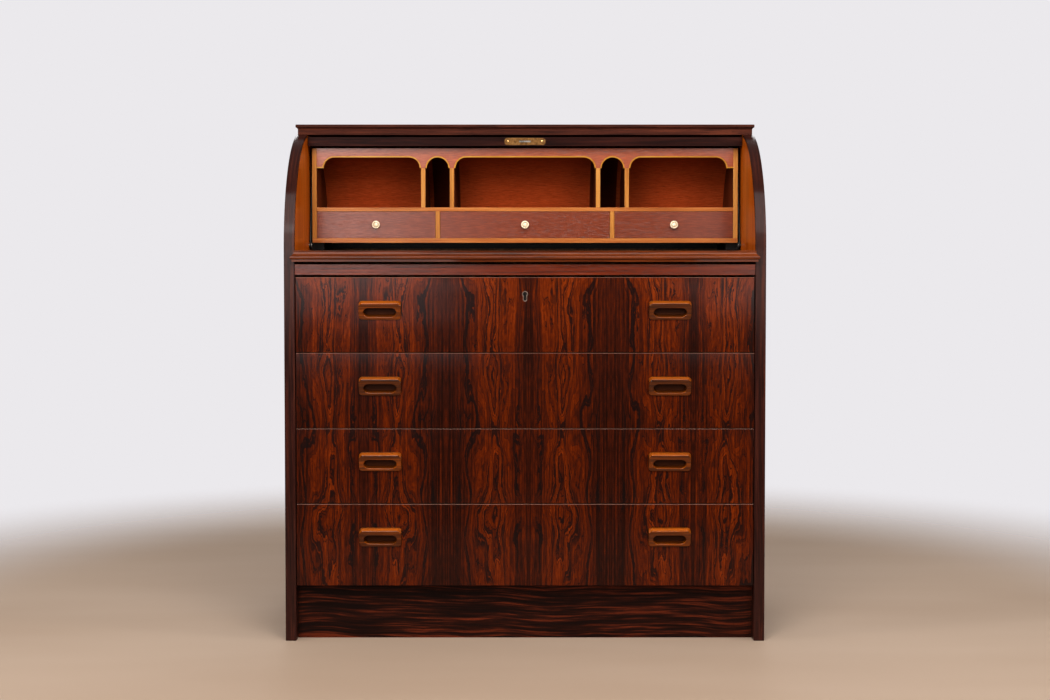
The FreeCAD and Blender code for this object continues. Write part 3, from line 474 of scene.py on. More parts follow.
SHORT_GRAIN = {"line_strength": 0.06, "pore_strength": 0.6, "band_share": 0.2, "spread": 0.46,
               "drawn_out": 0.06, "fibre_scale": 820.0}
unit_front = wood("unit_front", ALONG_X, UNIT_BROWNS, UNIT_LINE, roughness=0.2, coat=OILED, **SHORT_GRAIN)
unit_arches = wood("unit_arches", ALONG_X, ARCH_BROWNS, UNIT_LINE, roughness=0.23, coat=SATIN, **SHORT_GRAIN)
pale_edging = wood("pale_edging", ALONG_X, EDGING_BROWNS, LIPPING_LINE, roughness=0.4, line_strength=0.1)


def back_paint(nodes, shader):
    """The unit's back, with painted shade behind the two narrow slots."""
    point = object_point(nodes)
    colour, height = straight_grain(nodes, point, ALONG_X, BACK_BROWNS, BACK_LINE, **SHORT_GRAIN)
    # Painted shade behind the two narrow slots.
    from_slot = nodes.math("SUBTRACT", nodes.math("ABSOLUTE", nodes.split(point)[0]), SLOT_MIDDLE)
    in_slot = nodes.math("LESS_THAN", nodes.math("ABSOLUTE", from_slot), SLOT_HALF)
    lay_on(nodes, shader, nodes.tint(colour, SLOT_SHADE_BROWN, in_slot, SLOT_SHADE), height)


unit_back = finish("unit_back", back_paint, Roughness=0.4, **LACQUER)


def unit_board(name, axis, palette):
    """A board of the unit, with its front lipping."""
    def paint_on(nodes, shader):
        point = object_point(nodes)
        board, height = straight_grain(nodes, point, axis, BOARD_BROWNS, UNIT_LINE, line_strength=0.3)
        lipping, _ = straight_grain(nodes, point, axis, palette, LIPPING_LINE, line_strength=0.25,
                                    pore_strength=0.3)
        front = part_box("unit_bottom")[0].y
        is_board = nodes.math("GREATER_THAN", nodes.split(point)[1], front + LIPPING_DEPTH)
        lay_on(nodes, shader, nodes.mix(is_board, lipping, board), height)
    return finish(name, paint_on, Roughness=0.4, **LACQUER)


unit_flat = unit_board("unit_flat", ALONG_X, LIPPING_BROWNS)
unit_upright = unit_board("unit_upright", ALONG_Z, UPRIGHT_BROWNS)

# %% [markdown]
# ## The handles' wood
# The drawers' handles are of a warmer, streaked wood. Hands have polished them, but not the hollow, which is
# bare. The upper bevel has a painted highlight, and the hollow painted shade.

# %% Handle finish
HANDLE_BROWNS = [paint(44, 17, 3), paint(86, 38, 4), paint(134, 64, 6)]
# Painted highlight of the upper bevel: its colour, how far a face turns up, and how much.
HANDLE_BEVEL_HIGHLIGHT = paint(206, 108, 8)
HANDLE_LINE = paint(70, 32, 12)
# Painted shade of the hollow.
HANDLE_SHADE = paint(58, 27, 11)
BEVEL_HIGHLIGHT_SLOPE = (0.2, 0.6)
BEVEL_HIGHLIGHT_UNTIL = 0.1
BEVEL_HIGHLIGHT_SHARE = 0.34
SHADE_FULL = 1.5
POLISH = 0.55
POLISH_ROUGHNESS = 0.06
POLISH_UNTIL = 0.3


def handle_paint(nodes, shader):
    """Streaked, polished wood, a painted highlight on its upper bevel, and painted shade in the bare hollow."""
    colour, height = straight_grain(nodes, object_point(nodes), ALONG_X, HANDLE_BROWNS, HANDLE_LINE,
                                    line_strength=0.5)
    sunk = nodes.node("ShaderNodeAttribute", attribute_name="sunk").outputs["Fac"]
    # Painted highlight on the upper bevel, where the surface turns up, outside the hollow.
    outside = nodes.step(sunk, BEVEL_HIGHLIGHT_UNTIL, 0.0)
    bevel_highlight = nodes.math("MULTIPLY", nodes.step(upward(nodes), *BEVEL_HIGHLIGHT_SLOPE), outside)
    colour = nodes.tint(colour, HANDLE_BEVEL_HIGHLIGHT, bevel_highlight, BEVEL_HIGHLIGHT_SHARE)
    # Painted shade in the hollow, darker the deeper a point is sunk.
    lay_on(nodes, shader, nodes.mix(nodes.step(sunk, 0.0, SHADE_FULL), colour, HANDLE_SHADE), height)
    link(nodes, shader["Coat Weight"], nodes.math("MULTIPLY", nodes.step(sunk, POLISH_UNTIL, 0.0), POLISH))


handle_wood = finish("handle_wood", handle_paint, Roughness=0.4, Coat_Roughness=POLISH_ROUGHNESS, **DULL)

# %% [markdown]
# ## Linings, runners and plywood
# Inside, the desk is plain: pale drawer boxes, beech runners and a plywood back. They show when a drawer is
# out or the desk is seen from behind, so they get the same care with softer colours and no lacquer.

# %% Plain woods
LINING_PALE = [paint(176, 132, 84), paint(198, 156, 106), paint(214, 178, 130)]
PALE_LINE = paint(146, 102, 60)
BEECH = [paint(182, 134, 88), paint(200, 154, 106), paint(214, 172, 126)]
PLY_BROWNS = [paint(128, 84, 48), paint(152, 106, 64), paint(172, 126, 82)]
PLY_LINE = paint(104, 64, 36)
# Painted shade: the unit's bearers and the lid's stop batten get a near-black brown, so that they read as dark as
# the shade round them.
PAINTED_SHADE_BROWNS = [paint(26, 15, 11), paint(36, 22, 16), paint(48, 30, 22)]

drawer_lining = wood("drawer_lining", ALONG_Y, LINING_PALE, PALE_LINE, roughness=0.5, coat=OILED,
                     line_strength=0.25, pore_strength=0.35)
runner_wood = wood("runner_wood", ALONG_Y, BEECH, PALE_LINE, roughness=0.5, coat=OILED, line_strength=0.15,
                   pore_strength=0.4)
stained_wood = wood("stained_wood", ALONG_Y, PAINTED_SHADE_BROWNS, INK, roughness=0.5, coat=OILED)
plywood = wood("plywood", ALONG_Z, PLY_BROWNS, PLY_LINE, roughness=0.6, coat=OILED, line_strength=0.4)

# %% [markdown]
# ## Metals and knobs
# The lid's lock plate is old brass: brown where it has tarnished, bright where it has been rubbed. Steel
# parts are grey and slightly uneven, and the turned knobs are the cream of ivory-coloured plastic.

# %% Brass, steel and cream
TARNISH_SCALE = 240.0
CREAM_SCALE = 160.0
BRASS = [paint(84, 58, 32), paint(118, 84, 48), paint(146, 108, 66)]
RUBBED_BRASS = [paint(176, 138, 84), paint(206, 170, 112), paint(226, 196, 142)]
STEEL = [paint(96, 94, 92), paint(140, 138, 134), paint(168, 166, 162)]
WORN_STEEL = [paint(84, 70, 62), paint(108, 92, 82), paint(132, 114, 104)]
DARK_STEEL = [paint(34, 32, 30), paint(46, 44, 42), paint(60, 57, 54)]
KNOB_BROWN = paint(150, 116, 78)
KNOB_BROWN_SHARE = 0.75
CREAM = [paint(222, 202, 164), paint(236, 220, 188), paint(244, 232, 206)]
PLACES = (0.35, 0.5, 0.68)
CLOUD_RANGE = (0.3, 0.7)


def small_clouds(nodes, scale):
    """Uneven clouds all through an object."""
    return nodes.noise(object_point(nodes), scale, detail=4.0, roughness=0.6)


def metal(name, palette, rough):
    """A metal whose colour and gloss vary in small clouds, with the roughness of dark and bright places."""
    def paint_on(nodes, shader):
        clouds = small_clouds(nodes, TARNISH_SCALE)
        link(nodes, shader["Base Color"], nodes.ramp(clouds, *zip(PLACES, palette)))
        inputs = dict(enumerate((clouds, *CLOUD_RANGE, *rough)))
        link(nodes, shader["Roughness"], nodes.node("ShaderNodeMapRange", inputs).outputs[0])
    return finish(name, paint_on, Metallic=1.0)


aged_brass = metal("aged_brass", BRASS, (0.5, 0.28))
rubbed_brass = metal("rubbed_brass", RUBBED_BRASS, (0.35, 0.2))
steel = metal("steel", STEEL, (0.45, 0.3))
worn_steel = metal("worn_steel", WORN_STEEL, (0.5, 0.35))
dark_steel = metal("dark_steel", DARK_STEEL, (0.55, 0.4))


def knob_paint(nodes, shader):
    """Cream, browner at the foot and neck and most in the groove round the button."""
    clouds = small_clouds(nodes, CREAM_SCALE)
    cream = nodes.ramp(clouds, *zip(PLACES, CREAM))
    browning = nodes.node("ShaderNodeAttribute", attribute_name="browning").outputs["Fac"]
    lay_on(nodes, shader, nodes.tint(cream, KNOB_BROWN, browning, KNOB_BROWN_SHARE), clouds)


cream_knob = finish("cream_knob", knob_paint, Roughness=0.3, Coat_Weight=0.3, Coat_Roughness=0.1)

# %% [markdown]
# ## Dressing the CAD nodes
# A node whose shape is right keeps it and gets a finish. A wooden node with sharp edges gets an eased copy:
# no real arris is sharp, and the thin bright line on a softened one is much of what makes wood look solid.
# The copy's loose triangles are merged and flat ones joined, so that a Bevel modifier finds only the real
# edges.

# %% Dress a node
MERGE = 1e-6
FLAT = radians(0.5)
ARRIS = radians(35)


def cover(mesh, material):
    """Give a mesh one material."""
    mesh.materials.clear()
    mesh.materials.append(material)


def dress(node, material):
    """Give a CAD node its finish."""
    cover(frame["nodes"][node].data, material)


def add_piece(name, mesh, material, node):
    """A piece that stands for a CAD node and moves with its body."""
    cover(mesh, material)
    piece = bpy.data.objects.new(name, mesh)
    bpy.context.scene.collection.objects.link(piece)
    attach(piece, body_of[node])
    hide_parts(node)
    return piece


def ease(piece, radius, segments=2):
    """Take the arrises off a piece."""
    piece.data.shade_smooth()
    bevel = piece.modifiers.new("eased arrises", "BEVEL")
    bevel.width = radius
    bevel.segments = segments
    bevel.limit_method = "ANGLE"
    bevel.angle_limit = ARRIS
    bevel.harden_normals = True


def merged(node):
    """A node's mesh as one whole, without the doubled points of its loose triangles."""
    shape = bmesh.new()
    shape.from_mesh(frame["nodes"][node].data)
    bmesh.ops.remove_doubles(shape, verts=shape.verts, dist=MERGE)
    return shape


def merged_copy(node):
    """A copy of a node's mesh with its flat triangles joined."""
    shape = merged(node)
    bmesh.ops.dissolve_limit(shape, angle_limit=FLAT, verts=shape.verts, edges=shape.edges)
    mesh = bpy.data.meshes.new(f"{node}_eased")
    shape.to_mesh(mesh)
    shape.free()
    if "custom_normal" in mesh.attributes:
        mesh.attributes.remove(mesh.attributes["custom_normal"])
    return mesh


def eased(node, material, radius, segments=2):
    """A copy of a node with its arrises taken off, in the node's place."""
    piece = add_piece(f"{node}_eased", merged_copy(node), material, node)
    ease(piece, radius, segments)
    return piece


# %% [markdown]
# ## Case
# The sides, the back and the runners keep their CAD shapes. The top, the rails, the plinth and the writing
# board's pieces are eased, which also shades their mouldings as one smooth curve.

# %% Case and board
CASE_EASE = 0.0006
MOULDING_EASE = 0.0003

for side in ("left", "right"):
    dress(f"side_panel_{side}", side_rosewood)
for node in ("back_panel", "bottom_panel"):
    dress(node, plywood)
for node in ("drawer_runners", "board_runners"):
    dress(node, runner_wood)
# Painted shade on the bearers and the stop batten.
for node in ("unit_bearers", "lid_stop_batten"):
    dress(node, stained_wood)
eased("top_panel", top_rosewood, CASE_EASE)
eased("lid_rail", rosewood_dark, CASE_EASE)
eased("board_moulding", nose_rosewood, MOULDING_EASE)
eased("plinth", plinth_rosewood, CASE_EASE)
eased("front_rail", rail_rosewood, CASE_EASE)
eased("board_panel", board_rosewood, CASE_EASE)
print("case dressed")

# %% [markdown]
# ## Unit
# The pigeonhole unit's boards are thin, with crisp but not sharp front edges.

# %% Unit boards and small drawers
UNIT_EASE = 0.0004
EDGING_EASE = 0.0002

for node in ("unit_bottom", "unit_shelf"):
    eased(node, unit_flat, UNIT_EASE)
for node in ("unit_sides", "unit_dividers", "unit_drawer_dividers"):
    eased(node, unit_upright, UNIT_EASE)
dress("unit_top", unit_flat)
eased("unit_back", unit_back, EDGING_EASE)
eased("unit_valance", unit_arches, EDGING_EASE)
eased("unit_valance_edging", pale_edging, EDGING_EASE)
for place in ("left", "centre", "right"):
    eased(f"small_drawer_{place}_front", unit_front, UNIT_EASE)
    dress(f"small_drawer_{place}_box", drawer_lining)
print("unit dressed")

# %% [markdown]
# ## Turned knobs
# A knob is turned on a lathe, so its shape is one line swept round an axis: foot, thin neck, round rim,
# groove and button. Here each point of the line becomes a ring of points, which stores how brown it is.

# %% Knobs
KNOB_RADIUS = 0.0087
KNOB_REACH = 0.013
KNOB_STEPS = 48
# Radius and reach of each ring as shares of the knob's, and how brown it is.
KNOB_LINE = [(0.0, -0.3, 0.0), (0.35, -0.3, 0.0), (0.35, 0.0, 0.6), (0.53, 0.0, 0.6), (0.5, 0.06, 0.5),
             (0.44, 0.22, 0.3), (0.46, 0.36, 0.2), (0.6, 0.5, 0.1), (0.84, 0.56, 0.0), (0.95, 0.62, 0.0),
             (1.0, 0.73, 0.0), (0.97, 0.83, 0.0), (0.88, 0.91, 0.0), (0.76, 0.94, 0.1), (0.67, 0.93, 0.5),
             (0.61, 0.86, 1.0), (0.55, 0.86, 1.0), (0.5, 0.92, 0.5), (0.4, 0.96, 0.1), (0.2, 0.99, 0.0),
             (0.0, 1.0, 0.0)]


def turned_knob(node):
    """A knob on the face of a small drawer, in the place of its CAD node."""
    low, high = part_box(node)
    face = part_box(node.replace("knob", "front"))[0].y
    shape = bmesh.new()
    browning = shape.verts.layers.float.new("browning")
    rings = []
    for radius, reach, brownness in KNOB_LINE:
        steps = KNOB_STEPS if radius else 1
        ring = []
        for step in range(steps):
            turn = 2 * pi * step / steps
            ring.append(shape.verts.new(((low.x + high.x) / 2 + KNOB_RADIUS * radius * cos(turn),
                                         face - KNOB_REACH * reach,
                                         (low.z + high.z) / 2 + KNOB_RADIUS * radius * sin(turn))))
            ring[-1][browning] = brownness
        rings.append(ring)
    for first, second in zip(rings, rings[1:]):
        for step in range(KNOB_STEPS):
            corners = [ring[(step + ahead) % len(ring)] for ring in (first, second) for ahead in (0, 1)]
            corners = [corners[0], corners[1], corners[3], corners[2]]
            shape.faces.new(dict.fromkeys(corners))
    bmesh.ops.recalc_face_normals(shape, faces=shape.faces)
    mesh = bpy.data.meshes.new(f"{node}_turned")
    shape.to_mesh(mesh)
    shape.free()
    mesh.shade_smooth()
    add_piece(f"{node}_turned", mesh, cream_knob, node)
    print(f"{node}: {len(mesh.polygons)} faces")


for place in ("left", "centre", "right"):
    turned_knob(f"small_drawer_{place}_knob")

# %% [markdown]
# ## Long drawers
# The fronts carry the matched veneer. The handles are let in, and carved from a warmer wood. Their hollows
# are never polished and get painted shade: each point of a handle stores how far it is sunk behind the
# handle's sloping face, and the finish is darker and unpolished with that. The face runs from the lip, at the
# top, down to the thin lower rim. A handle also has very short edges, for which a Bevel modifier would clamp
# its rounding to almost nothing, so the clamp is off.

# %% Drawers and handles
FRONT_EASE = 0.0016
HANDLE_EASE = 0.0012
HANDLE_SEGMENTS = 3
RIM_REACH = 0.003
SUNK_FULL = 0.012
OUTER = 0.0025


def mark_hollow(piece):
    """Store how far each point is sunk, 1 at the depth that scales the hollow's painted shade. The outside stays
    0.
    """
    points = [Vector((abs(v.co.x), v.co.y, v.co.z)) for v in piece.data.vertices]
    low = Vector(min(point[i] for point in points) for i in range(3))
    high = Vector(max(point[i] for point in points) for i in range(3))
    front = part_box("drawer_1_front")[0].y
    slope = (front - RIM_REACH - low.y) / (high.z - low.z)
    sunk = piece.data.attributes.new("sunk", "FLOAT", "POINT")
    for point, store in zip(points, sunk.data):
        face = low.y + (high.z - point.z) * slope
        inside = all(low[i] + OUTER < point[i] < high[i] - OUTER for i in (0, 2))
        store.value = max(0.0, (point.y - face - OUTER) / SUNK_FULL) if inside else 0.0


for number in range(1, 5):
    eased(f"drawer_{number}_front", drawer_veneer, FRONT_EASE)
    dress(f"drawer_{number}_box", drawer_lining)
    handles = eased(f"drawer_{number}_handles", handle_wood, HANDLE_EASE, HANDLE_SEGMENTS)
    rounding = handles.modifiers[0]
    rounding.use_clamp_overlap = False
    rounding.loop_slide = False
    mark_hollow(handles)
print("drawers dressed")

# %% [markdown]
# ## Metalwork
# Locks, strike, arms and pins are stamped or turned, so their edges are finer than the wood's but still not
# sharp.

# %% Metalwork
METAL_EASE = 0.00025

for node in ("lid_lock_plate", "lid_escutcheon", "board_strike"):
    eased(node, aged_brass, METAL_EASE)
for node in ("lid_pivot_pins", "lid_lock_bolt", "drawer_lock_bolt"):
    eased(node, steel, METAL_EASE)
eased("drawer_lock_escutcheon", worn_steel, METAL_EASE)
for node in ("lid_arms", "lid_lock_case", "drawer_lock_case"):
    eased(node, dark_steel, METAL_EASE)
print("metalwork dressed")

# %% [markdown]
# ## Bent boards
# The lid and the lippings of the sides follow a rule: a flat board, straight for a while and then bent round
# a circle. Geometry Nodes can bend it: a long box is made flat, its flat place is stored for the veneer, and
# each point is moved to where the bend takes it. So the grain follows the bend, as it does in a real bent
# board.

# %% A tree that bends a board
def new_tree(name, kinds):
    """A tree with named inputs. Gives back the writer of its nodes and a socket for each input."""
    tree = bpy.data.node_groups.new(name, "GeometryNodeTree")
    for title, kind in kinds.items():
        tree.interface.new_socket(title, in_out="INPUT", socket_type=f"NodeSocket{kind}")
    tree.interface.new_socket("Geometry", in_out="OUTPUT", socket_type="NodeSocketGeometry")
    nodes = Nodes(tree)
    return nodes, nodes.node("NodeGroupInput").outputs


def end_tree(nodes, geometry, material):
    """Make copies real, give them their material and hand them on."""
    real = nodes.node("GeometryNodeRealizeInstances", {"Geometry": geometry}).outputs[0]
    done = nodes.node("GeometryNodeSetMaterial", {"Geometry": real, "Material": material}).outputs[0]
    nodes.node("NodeGroupOutput", {0: done})
    print(f"tree: {nodes.tree.name}, {len(nodes.tree.nodes)} nodes")
    return nodes.tree


def bent_board_tree():
    """A board that is straight for a length and then bent round a circle, with its flat place stored."""
    nodes, given = new_tree("bent_board", {
        "Width": "Float", "Length": "Float", "Thickness": "Float", "Straight": "Float", "Radius": "Float",
        "Start angle": "Float", "Middle": "Vector", "Steps": "Int", "Material": "Material"})
    flat_size = nodes.join(given["Width"], given["Thickness"], given["Length"])
    board = nodes.node("GeometryNodeMeshCube", {"Size": flat_size, "Vertices X": 2, "Vertices Y": 2,
                                                "Vertices Z": given["Steps"]}).outputs[0]
    place = nodes.node("GeometryNodeInputPosition").outputs[0]
    x, deep, up = nodes.split(place)
    along = nodes.math("MULTIPLY_ADD", given["Length"], 0.5, up)
    stored = nodes.node("GeometryNodeStoreNamedAttribute",
                        {"Geometry": board, "Name": "grain", "Value": nodes.join(x, deep, along)},
                        data_type="FLOAT_VECTOR", domain="POINT").outputs[0]
    inward = nodes.math("MULTIPLY_ADD", given["Thickness"], 0.5, deep)
    past = nodes.math("SUBTRACT", along, given["Straight"])
    arc = nodes.math("MAXIMUM", past, 0.0)
    below = nodes.math("MINIMUM", past, 0.0)
    angle = nodes.math("ADD", given["Start angle"], nodes.math("DIVIDE", arc, given["Radius"]))
    reach = nodes.math("SUBTRACT", given["Radius"], inward)
    back = nodes.math("MULTIPLY", nodes.math("MULTIPLY", reach, nodes.math("COSINE", angle)), -1.0)
    rise = nodes.math("MULTIPLY_ADD", reach, nodes.math("SINE", angle), below)
    bent = nodes.vector("ADD", given["Middle"], nodes.join(x, back, rise))
    moved = nodes.node("GeometryNodeSetPosition", {"Geometry": stored, "Position": bent}).outputs[0]
    return end_tree(nodes, moved, given["Material"])


def grown(name, tree, start=None, **values):
    """The mesh that a tree makes from its named inputs and from a mesh to start with."""
    holder = bpy.data.objects.new(name, start or bpy.data.meshes.new(name))
    bpy.context.scene.collection.objects.link(holder)
    modifier = holder.modifiers.new(tree.name, "NODES")
    modifier.node_group = tree
    for item in tree.interface.items_tree:
        if item.in_out == "INPUT" and item.name.replace(" ", "_") in values:
            modifier[item.identifier] = values[item.name.replace(" ", "_")]
    evaluated = holder.evaluated_get(bpy.context.evaluated_depsgraph_get())
    mesh = bpy.data.meshes.new_from_object(evaluated)
    bpy.data.objects.remove(holder)
    print(f"{name}: {len(mesh.polygons)} faces")
    return mesh


bent_board = bent_board_tree()

# %% Lid and lippings
SHOULDER = 0.8
BEND_RADIUS = 0.25
STEPS = 160
LIPPING_EASE = 0.0012

lid_joint = next(joint for joint in frame["joints"] if joint["name"] == "lid")
pivot = Vector(lid_joint["pos_m"])
polar = [(hypot(v.co.y - pivot.y, v.co.z - pivot.z), atan2(v.co.z - pivot.z, pivot.y - v.co.y))
         for v in frame["nodes"]["lid_panel"].data.vertices]
angles = sorted(angle % (2 * pi) for _, angle in polar)
outer = max(radius for radius, _ in polar)
thickness = outer - min(radius for radius, _ in polar)
low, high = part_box("lid_panel")
lid_mesh = grown("lid_panel_bent", bent_board, Width=high.x - low.x, Length=outer * (angles[-1] - angles[0]),
                 Thickness=thickness, Straight=0.0, Radius=outer, Start_angle=angles[0], Middle=pivot,
                 Steps=STEPS, Material=lid_veneer)
ease(add_piece("lid_panel_bent", lid_mesh, lid_veneer, "lid_panel"), CASE_EASE)

for side in ("left", "right"):
    node = f"side_lipping_{side}"
    low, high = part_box(node)
    middle = Vector(((low.x + high.x) / 2, low.y + BEND_RADIUS, SHOULDER))
    panel_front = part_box(f"side_panel_{side}")[0].y
    crown = atan2(high.z - SHOULDER, (BEND_RADIUS ** 2 - (high.z - SHOULDER) ** 2) ** 0.5)
    mesh = grown(f"{node}_bent", bent_board, Width=high.x - low.x, Length=SHOULDER + BEND_RADIUS * crown,
                 Thickness=panel_front - low.y, Straight=SHOULDER, Radius=BEND_RADIUS, Start_angle=0.0,
                 Middle=middle, Steps=STEPS, Material=rosewood_bent)
    ease(add_piece(f"{node}_bent", mesh, rosewood_bent, node), LIPPING_EASE)

# %% [markdown]
# ## Screws
# Slotted countersunk screws hold the plywood back and the lid's lock plate. One screw is made of a cone with
# a low dome, a cut slot and a shank, and Geometry Nodes set a copy at each place where the CAD has one.
# Nobody lines up such slots, so each copy has its own turn, from a fixed seed.

# %% A tree that sets screws
HEAD_SIDES = 24
DOME_RINGS = 12
SHANK_SIDES = 12
GROOVE_REACH = 3.0


def screw_tree():
    """A slotted screw at each of the given places. It is made with its head up and then turned."""
    nodes, given = new_tree("slotted_screws", {
        "Places": "Geometry", "Head radius": "Float", "Head depth": "Float", "Dome": "Float",
        "Shank radius": "Float", "Length": "Float", "Slot": "Float", "Facing": "Vector", "Seed": "Int",
        "Material": "Material"})

    def raised(geometry, height, **settings):
        """A piece of the screw, moved along its axis."""
        moves = {"Geometry": geometry, "Translation": nodes.join(0.0, 0.0, height), **settings}
        return nodes.node("GeometryNodeTransform", moves).outputs[0]

    def together(node, socket, *pieces):
        for piece in pieces:
            nodes.tree.links.new(piece, node.inputs[socket])
        return node.outputs[0]

    cone = nodes.node("GeometryNodeMeshCone", {
        "Vertices": HEAD_SIDES, "Radius Top": given["Head radius"], "Radius Bottom": given["Shank radius"],
        "Depth": given["Head depth"]}).outputs[0]
    ball = nodes.node("GeometryNodeMeshUVSphere", {
        "Segments": HEAD_SIDES, "Rings": DOME_RINGS, "Radius": 1.0}).outputs[0]
    flattened = nodes.join(given["Head radius"], given["Head radius"], given["Dome"])
    dome = raised(ball, given["Head depth"], Scale=flattened)
    whole = together(nodes.node("GeometryNodeMeshBoolean", operation="UNION"), "Mesh 2", cone, dome)
    groove_height = nodes.plus(given["Slot"], given["Dome"], 2.0)
    groove_length = nodes.math("MULTIPLY", given["Head radius"], GROOVE_REACH)
    groove = nodes.node("GeometryNodeMeshCube", {
        "Size": nodes.join(groove_length, given["Slot"], groove_height)}).outputs[0]
    groove = raised(groove, nodes.math("ADD", given["Head depth"], given["Dome"]))
    head = nodes.node("GeometryNodeMeshBoolean", {"Mesh 1": whole, "Mesh 2": groove},
                      operation="DIFFERENCE").outputs[0]
    shank = nodes.node("GeometryNodeMeshCylinder", {
        "Vertices": SHANK_SIDES, "Radius": given["Shank radius"], "Depth": given["Length"]}).outputs[0]
    shank = raised(shank, nodes.math("MULTIPLY", given["Length"], -0.5))
    screw = together(nodes.node("GeometryNodeJoinGeometry"), 0, head, shank)
    placed = nodes.node("GeometryNodeInstanceOnPoints", {
        "Points": given["Places"], "Instance": screw, "Rotation": given["Facing"]}).outputs[0]
    turn = nodes.node("FunctionNodeRandomValue", {"Max": (0.0, 0.0, pi), "Seed": given["Seed"]},
                      data_type="FLOAT_VECTOR").outputs[0]
    turned = nodes.node("GeometryNodeRotateInstances", {"Instances": placed, "Rotation": turn}).outputs[0]
    return end_tree(nodes, turned, given["Material"])


slotted_screws = screw_tree()

# %% Screws of the back and of the lock plate
def loose_boxes(node):
    """The lowest and highest corners of each loose part of a node, in the order of the node's points."""
    shape = merged(node)
    seen = set()
    boxes = []
    for start in shape.verts:
        if start in seen:
            continue
        seen.add(start)
        part, edge = [], [start]
        while edge:
            vert = edge.pop()
            part.append(vert.co)
            near = [other for way in vert.link_edges for other in way.verts if other not in seen]
            seen.update(near)
            edge += near
        boxes.append([Vector([pick(place[i] for place in part) for i in range(3)]) for pick in (min, max)])
    shape.free()
    return boxes


def set_screws(node, material, turn, sunk, seed, **sizes):
    """Slotted screws in a node's place. The turn about x takes their heads from up to outwards."""
    outwards = Vector((0.0, -sin(turn), cos(turn)))
    boxes = loose_boxes(node)
    radius = (boxes[0][1].x - boxes[0][0].x) / 2
    tilt = radius * abs(outwards.z)
    depth = sizes["Head_depth"] + sunk
    heads = []
    for low, high in boxes:
        face = high.y - tilt if outwards.y > 0 else low.y + tilt
        heads.append(Vector(((low.x + high.x) / 2, face, (low.z + high.z) / 2)) - depth * outwards)
    places = bpy.data.meshes.new(f"{node}_places")
    places.from_pydata(heads, [], [])
    length = high.y - low.y - depth
    mesh = grown(f"{node}_slotted", slotted_screws, places, Head_radius=radius - sunk, Length=length,
                 Facing=(turn, 0.0, 0.0), Seed=seed, Material=material, **sizes)
    add_piece(f"{node}_slotted", mesh, material, node)


lid_turn = radians(lid_joint["range_deg"][1])
set_screws("back_screws", steel, turn=-pi / 2, sunk=0.0003, seed=7, Head_depth=0.0027, Dome=0.0003,
           Shank_radius=0.0018, Slot=0.0009)
set_screws("lid_lock_screws", rubbed_brass, turn=pi - lid_turn, sunk=0.0004, seed=3, Head_depth=0.0013,
           Dome=0.0007, Shank_radius=0.0015, Slot=0.0008)

# %% [markdown]
# ## Studio
# A pale floor that fades into a white room, a key light above the camera, soft lights in front and behind,
# and a little light from all round. The key draws bright lines on the rounded edges. The left light stands
# where the left drawers mirror it, and two low glows where the top drawer does, as a cool sheen. Two small
# rims, high at both sides, glint on the handles. The white is only what the camera sees: lacquer that
# mirrored it would look grey.

# %% Floor
FLOOR_PALE = paint(166, 143, 123)
FLOOR_PALER = paint(176, 154, 135)
FLOOR_SCALE = 2.0
FLOOR_SQUEEZE = 0.3
FLOOR_HALF = 6.0
FADE_FROM = 1.15
FADE_TO = 2.3


def floor_paint(nodes, shader):
    """Two pale colours in broad clouds, clear towards the edge."""
    point = object_point(nodes)
    clouds = nodes.noise(along_grain(nodes, point, ALONG_X, FLOOR_SQUEEZE), FLOOR_SCALE, detail=3.0)
    link(nodes, shader["Base Color"], nodes.ramp(clouds, *zip(CLOUD_RANGE, (FLOOR_PALE, FLOOR_PALER))))
    distance = nodes.node("ShaderNodeVectorMath", {0: point}, operation="LENGTH").outputs["Value"]
    link(nodes, shader["Alpha"], nodes.step(distance, FADE_TO, FADE_FROM))


floor_mesh = bpy.data.meshes.new("floor")
corners = [(x * FLOOR_HALF, y * FLOOR_HALF, 0.0) for x, y in ((-1, -1), (1, -1), (1, 1), (-1, 1))]
floor_mesh.from_pydata(corners, [], [(0, 1, 2, 3)])
floor_mesh.materials.append(finish("pale_floor", floor_paint, Roughness=0.7, Specular_IOR_Level=0.2))
floor = bpy.data.objects.new("floor", floor_mesh)
bpy.context.scene.collection.objects.link(floor)

# %% Lights and sky
def soft_light(name, place, target, size, watts, colour):
    """A soft light of a width and a height that points at a target."""
    lamp = bpy.data.lights.new(name, "AREA")
    lamp.shape = "RECTANGLE"
    lamp.size, lamp.size_y = size
    lamp.energy = watts
    lamp.color = colour
    light = bpy.data.objects.new(name, lamp)
    light.location = place
    light.rotation_euler = (Vector(target) - Vector(place)).to_track_quat("-Z", "Y").to_euler()
    light.visible_camera = False
    bpy.context.scene.collection.objects.link(light)


DESK_MIDDLE = (0.0, 0.0, 0.65)
soft_light("key", (0.1, -2.1, 2.3), DESK_MIDDLE, (2.4, 1.8), 86.0, (1.0, 0.99, 0.98))
soft_light("left_softbox", (-1.32, -4.2, 1.7), DESK_MIDDLE, (1.7, 1.9), 62.0, (1.0, 0.98, 0.96))
soft_light("right_softbox", (1.6, -4.1, 1.4), DESK_MIDDLE, (1.1, 1.5), 28.0, (1.0, 0.97, 0.93))
soft_light("left_glow", (-0.8, -4.2, 0.68), (-0.8, 0.0, 0.68), (1.0, 0.36), 5.4, (0.96, 0.98, 1.0))
soft_light("right_glow", (1.0, -4.2, 0.68), (1.0, 0.0, 0.68), (0.5, 0.36), 2.0, (1.0, 0.98, 0.96))
soft_light("left_rim", (-2.6, -1.2, 1.9), DESK_MIDDLE, (0.45, 0.45), 25.0, (1.0, 1.0, 1.0))
soft_light("right_rim", (2.6, -1.2, 1.9), DESK_MIDDLE, (0.45, 0.45), 25.0, (1.0, 1.0, 1.0))
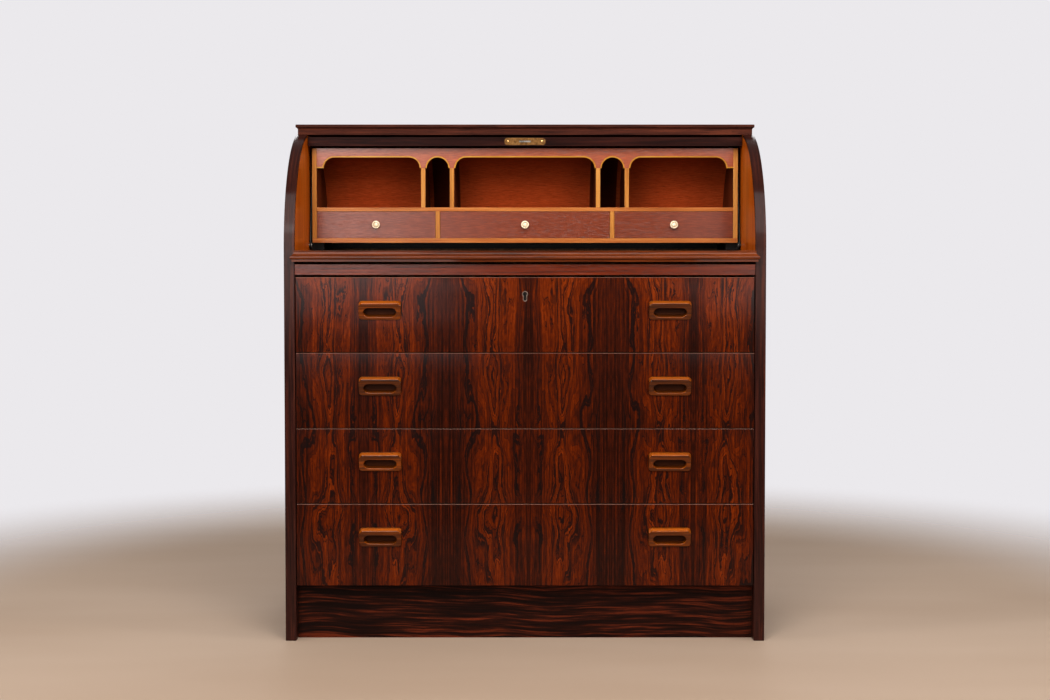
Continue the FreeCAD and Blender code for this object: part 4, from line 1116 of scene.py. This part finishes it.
soft_light("back_softbox", (0.0, 3.6, 2.8), DESK_MIDDLE, (2.6, 1.6), 60.0, (1.0, 1.0, 1.0))

FRONT_DARK = -0.75
SIDE_LIGHT = 0.1
FILL_STRENGTH = 0.4
FILL_COLOUR = (0.92, 0.95, 1.0, 1.0)
ROOM_WHITE = paint(237, 235, 238)
GAMMA = 0.9

world = bpy.data.worlds.new("studio")
world.use_nodes = True
sky = Nodes(world.node_tree)
seen = sky.node("ShaderNodeBackground", {"Color": ROOM_WHITE, "Strength": 1.0}).outputs[0]
towards_back = sky.split(sky.node("ShaderNodeTexCoord").outputs["Generated"])[1]
strength = sky.math("MULTIPLY", sky.step(towards_back, FRONT_DARK, SIDE_LIGHT), FILL_STRENGTH)
fill = sky.node("ShaderNodeBackground", {"Color": FILL_COLOUR, "Strength": strength}).outputs[0]
is_seen = sky.node("ShaderNodeLightPath").outputs["Is Camera Ray"]
both = sky.node("ShaderNodeMixShader", {0: is_seen, 1: fill, 2: seen}).outputs[0]
link(sky, world.node_tree.nodes["World Output"].inputs["Surface"], both)
bpy.context.scene.world = world
bpy.context.scene.view_settings.view_transform = "Standard"
bpy.context.scene.view_settings.gamma = GAMMA
print("studio lit")

# %% [markdown]
# ## Camera
# The photograph was taken from straight in front, a little above the writing board, tilted down by about two
# degrees. Its frame is a little lower than the lens's middle, which the camera's shift makes good.

# %% Camera
IMAGE_WIDTH = 1050
FOCAL_PIXELS = 1698
SENSOR = 36.0
CAMERA_DISTANCE = 3.45
CAMERA_HEIGHT = 0.80
TILT_DOWN = radians(2.16)
LENS_ABOVE_MIDDLE = 36

lens = bpy.data.cameras.new("camera")
lens.sensor_width = SENSOR
lens.lens = FOCAL_PIXELS / IMAGE_WIDTH * SENSOR
lens.shift_y = -LENS_ABOVE_MIDDLE / IMAGE_WIDTH
camera = bpy.data.objects.new("camera", lens)
camera.location = (0.0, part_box("side_lipping_left")[0].y - CAMERA_DISTANCE, CAMERA_HEIGHT)
camera.rotation_euler = (pi / 2 - TILT_DOWN, 0.0, 0.0)
bpy.context.scene.collection.objects.link(camera)
bpy.context.scene.camera = camera
print(f"camera with a {lens.lens:.1f} mm lens at {camera.location}")
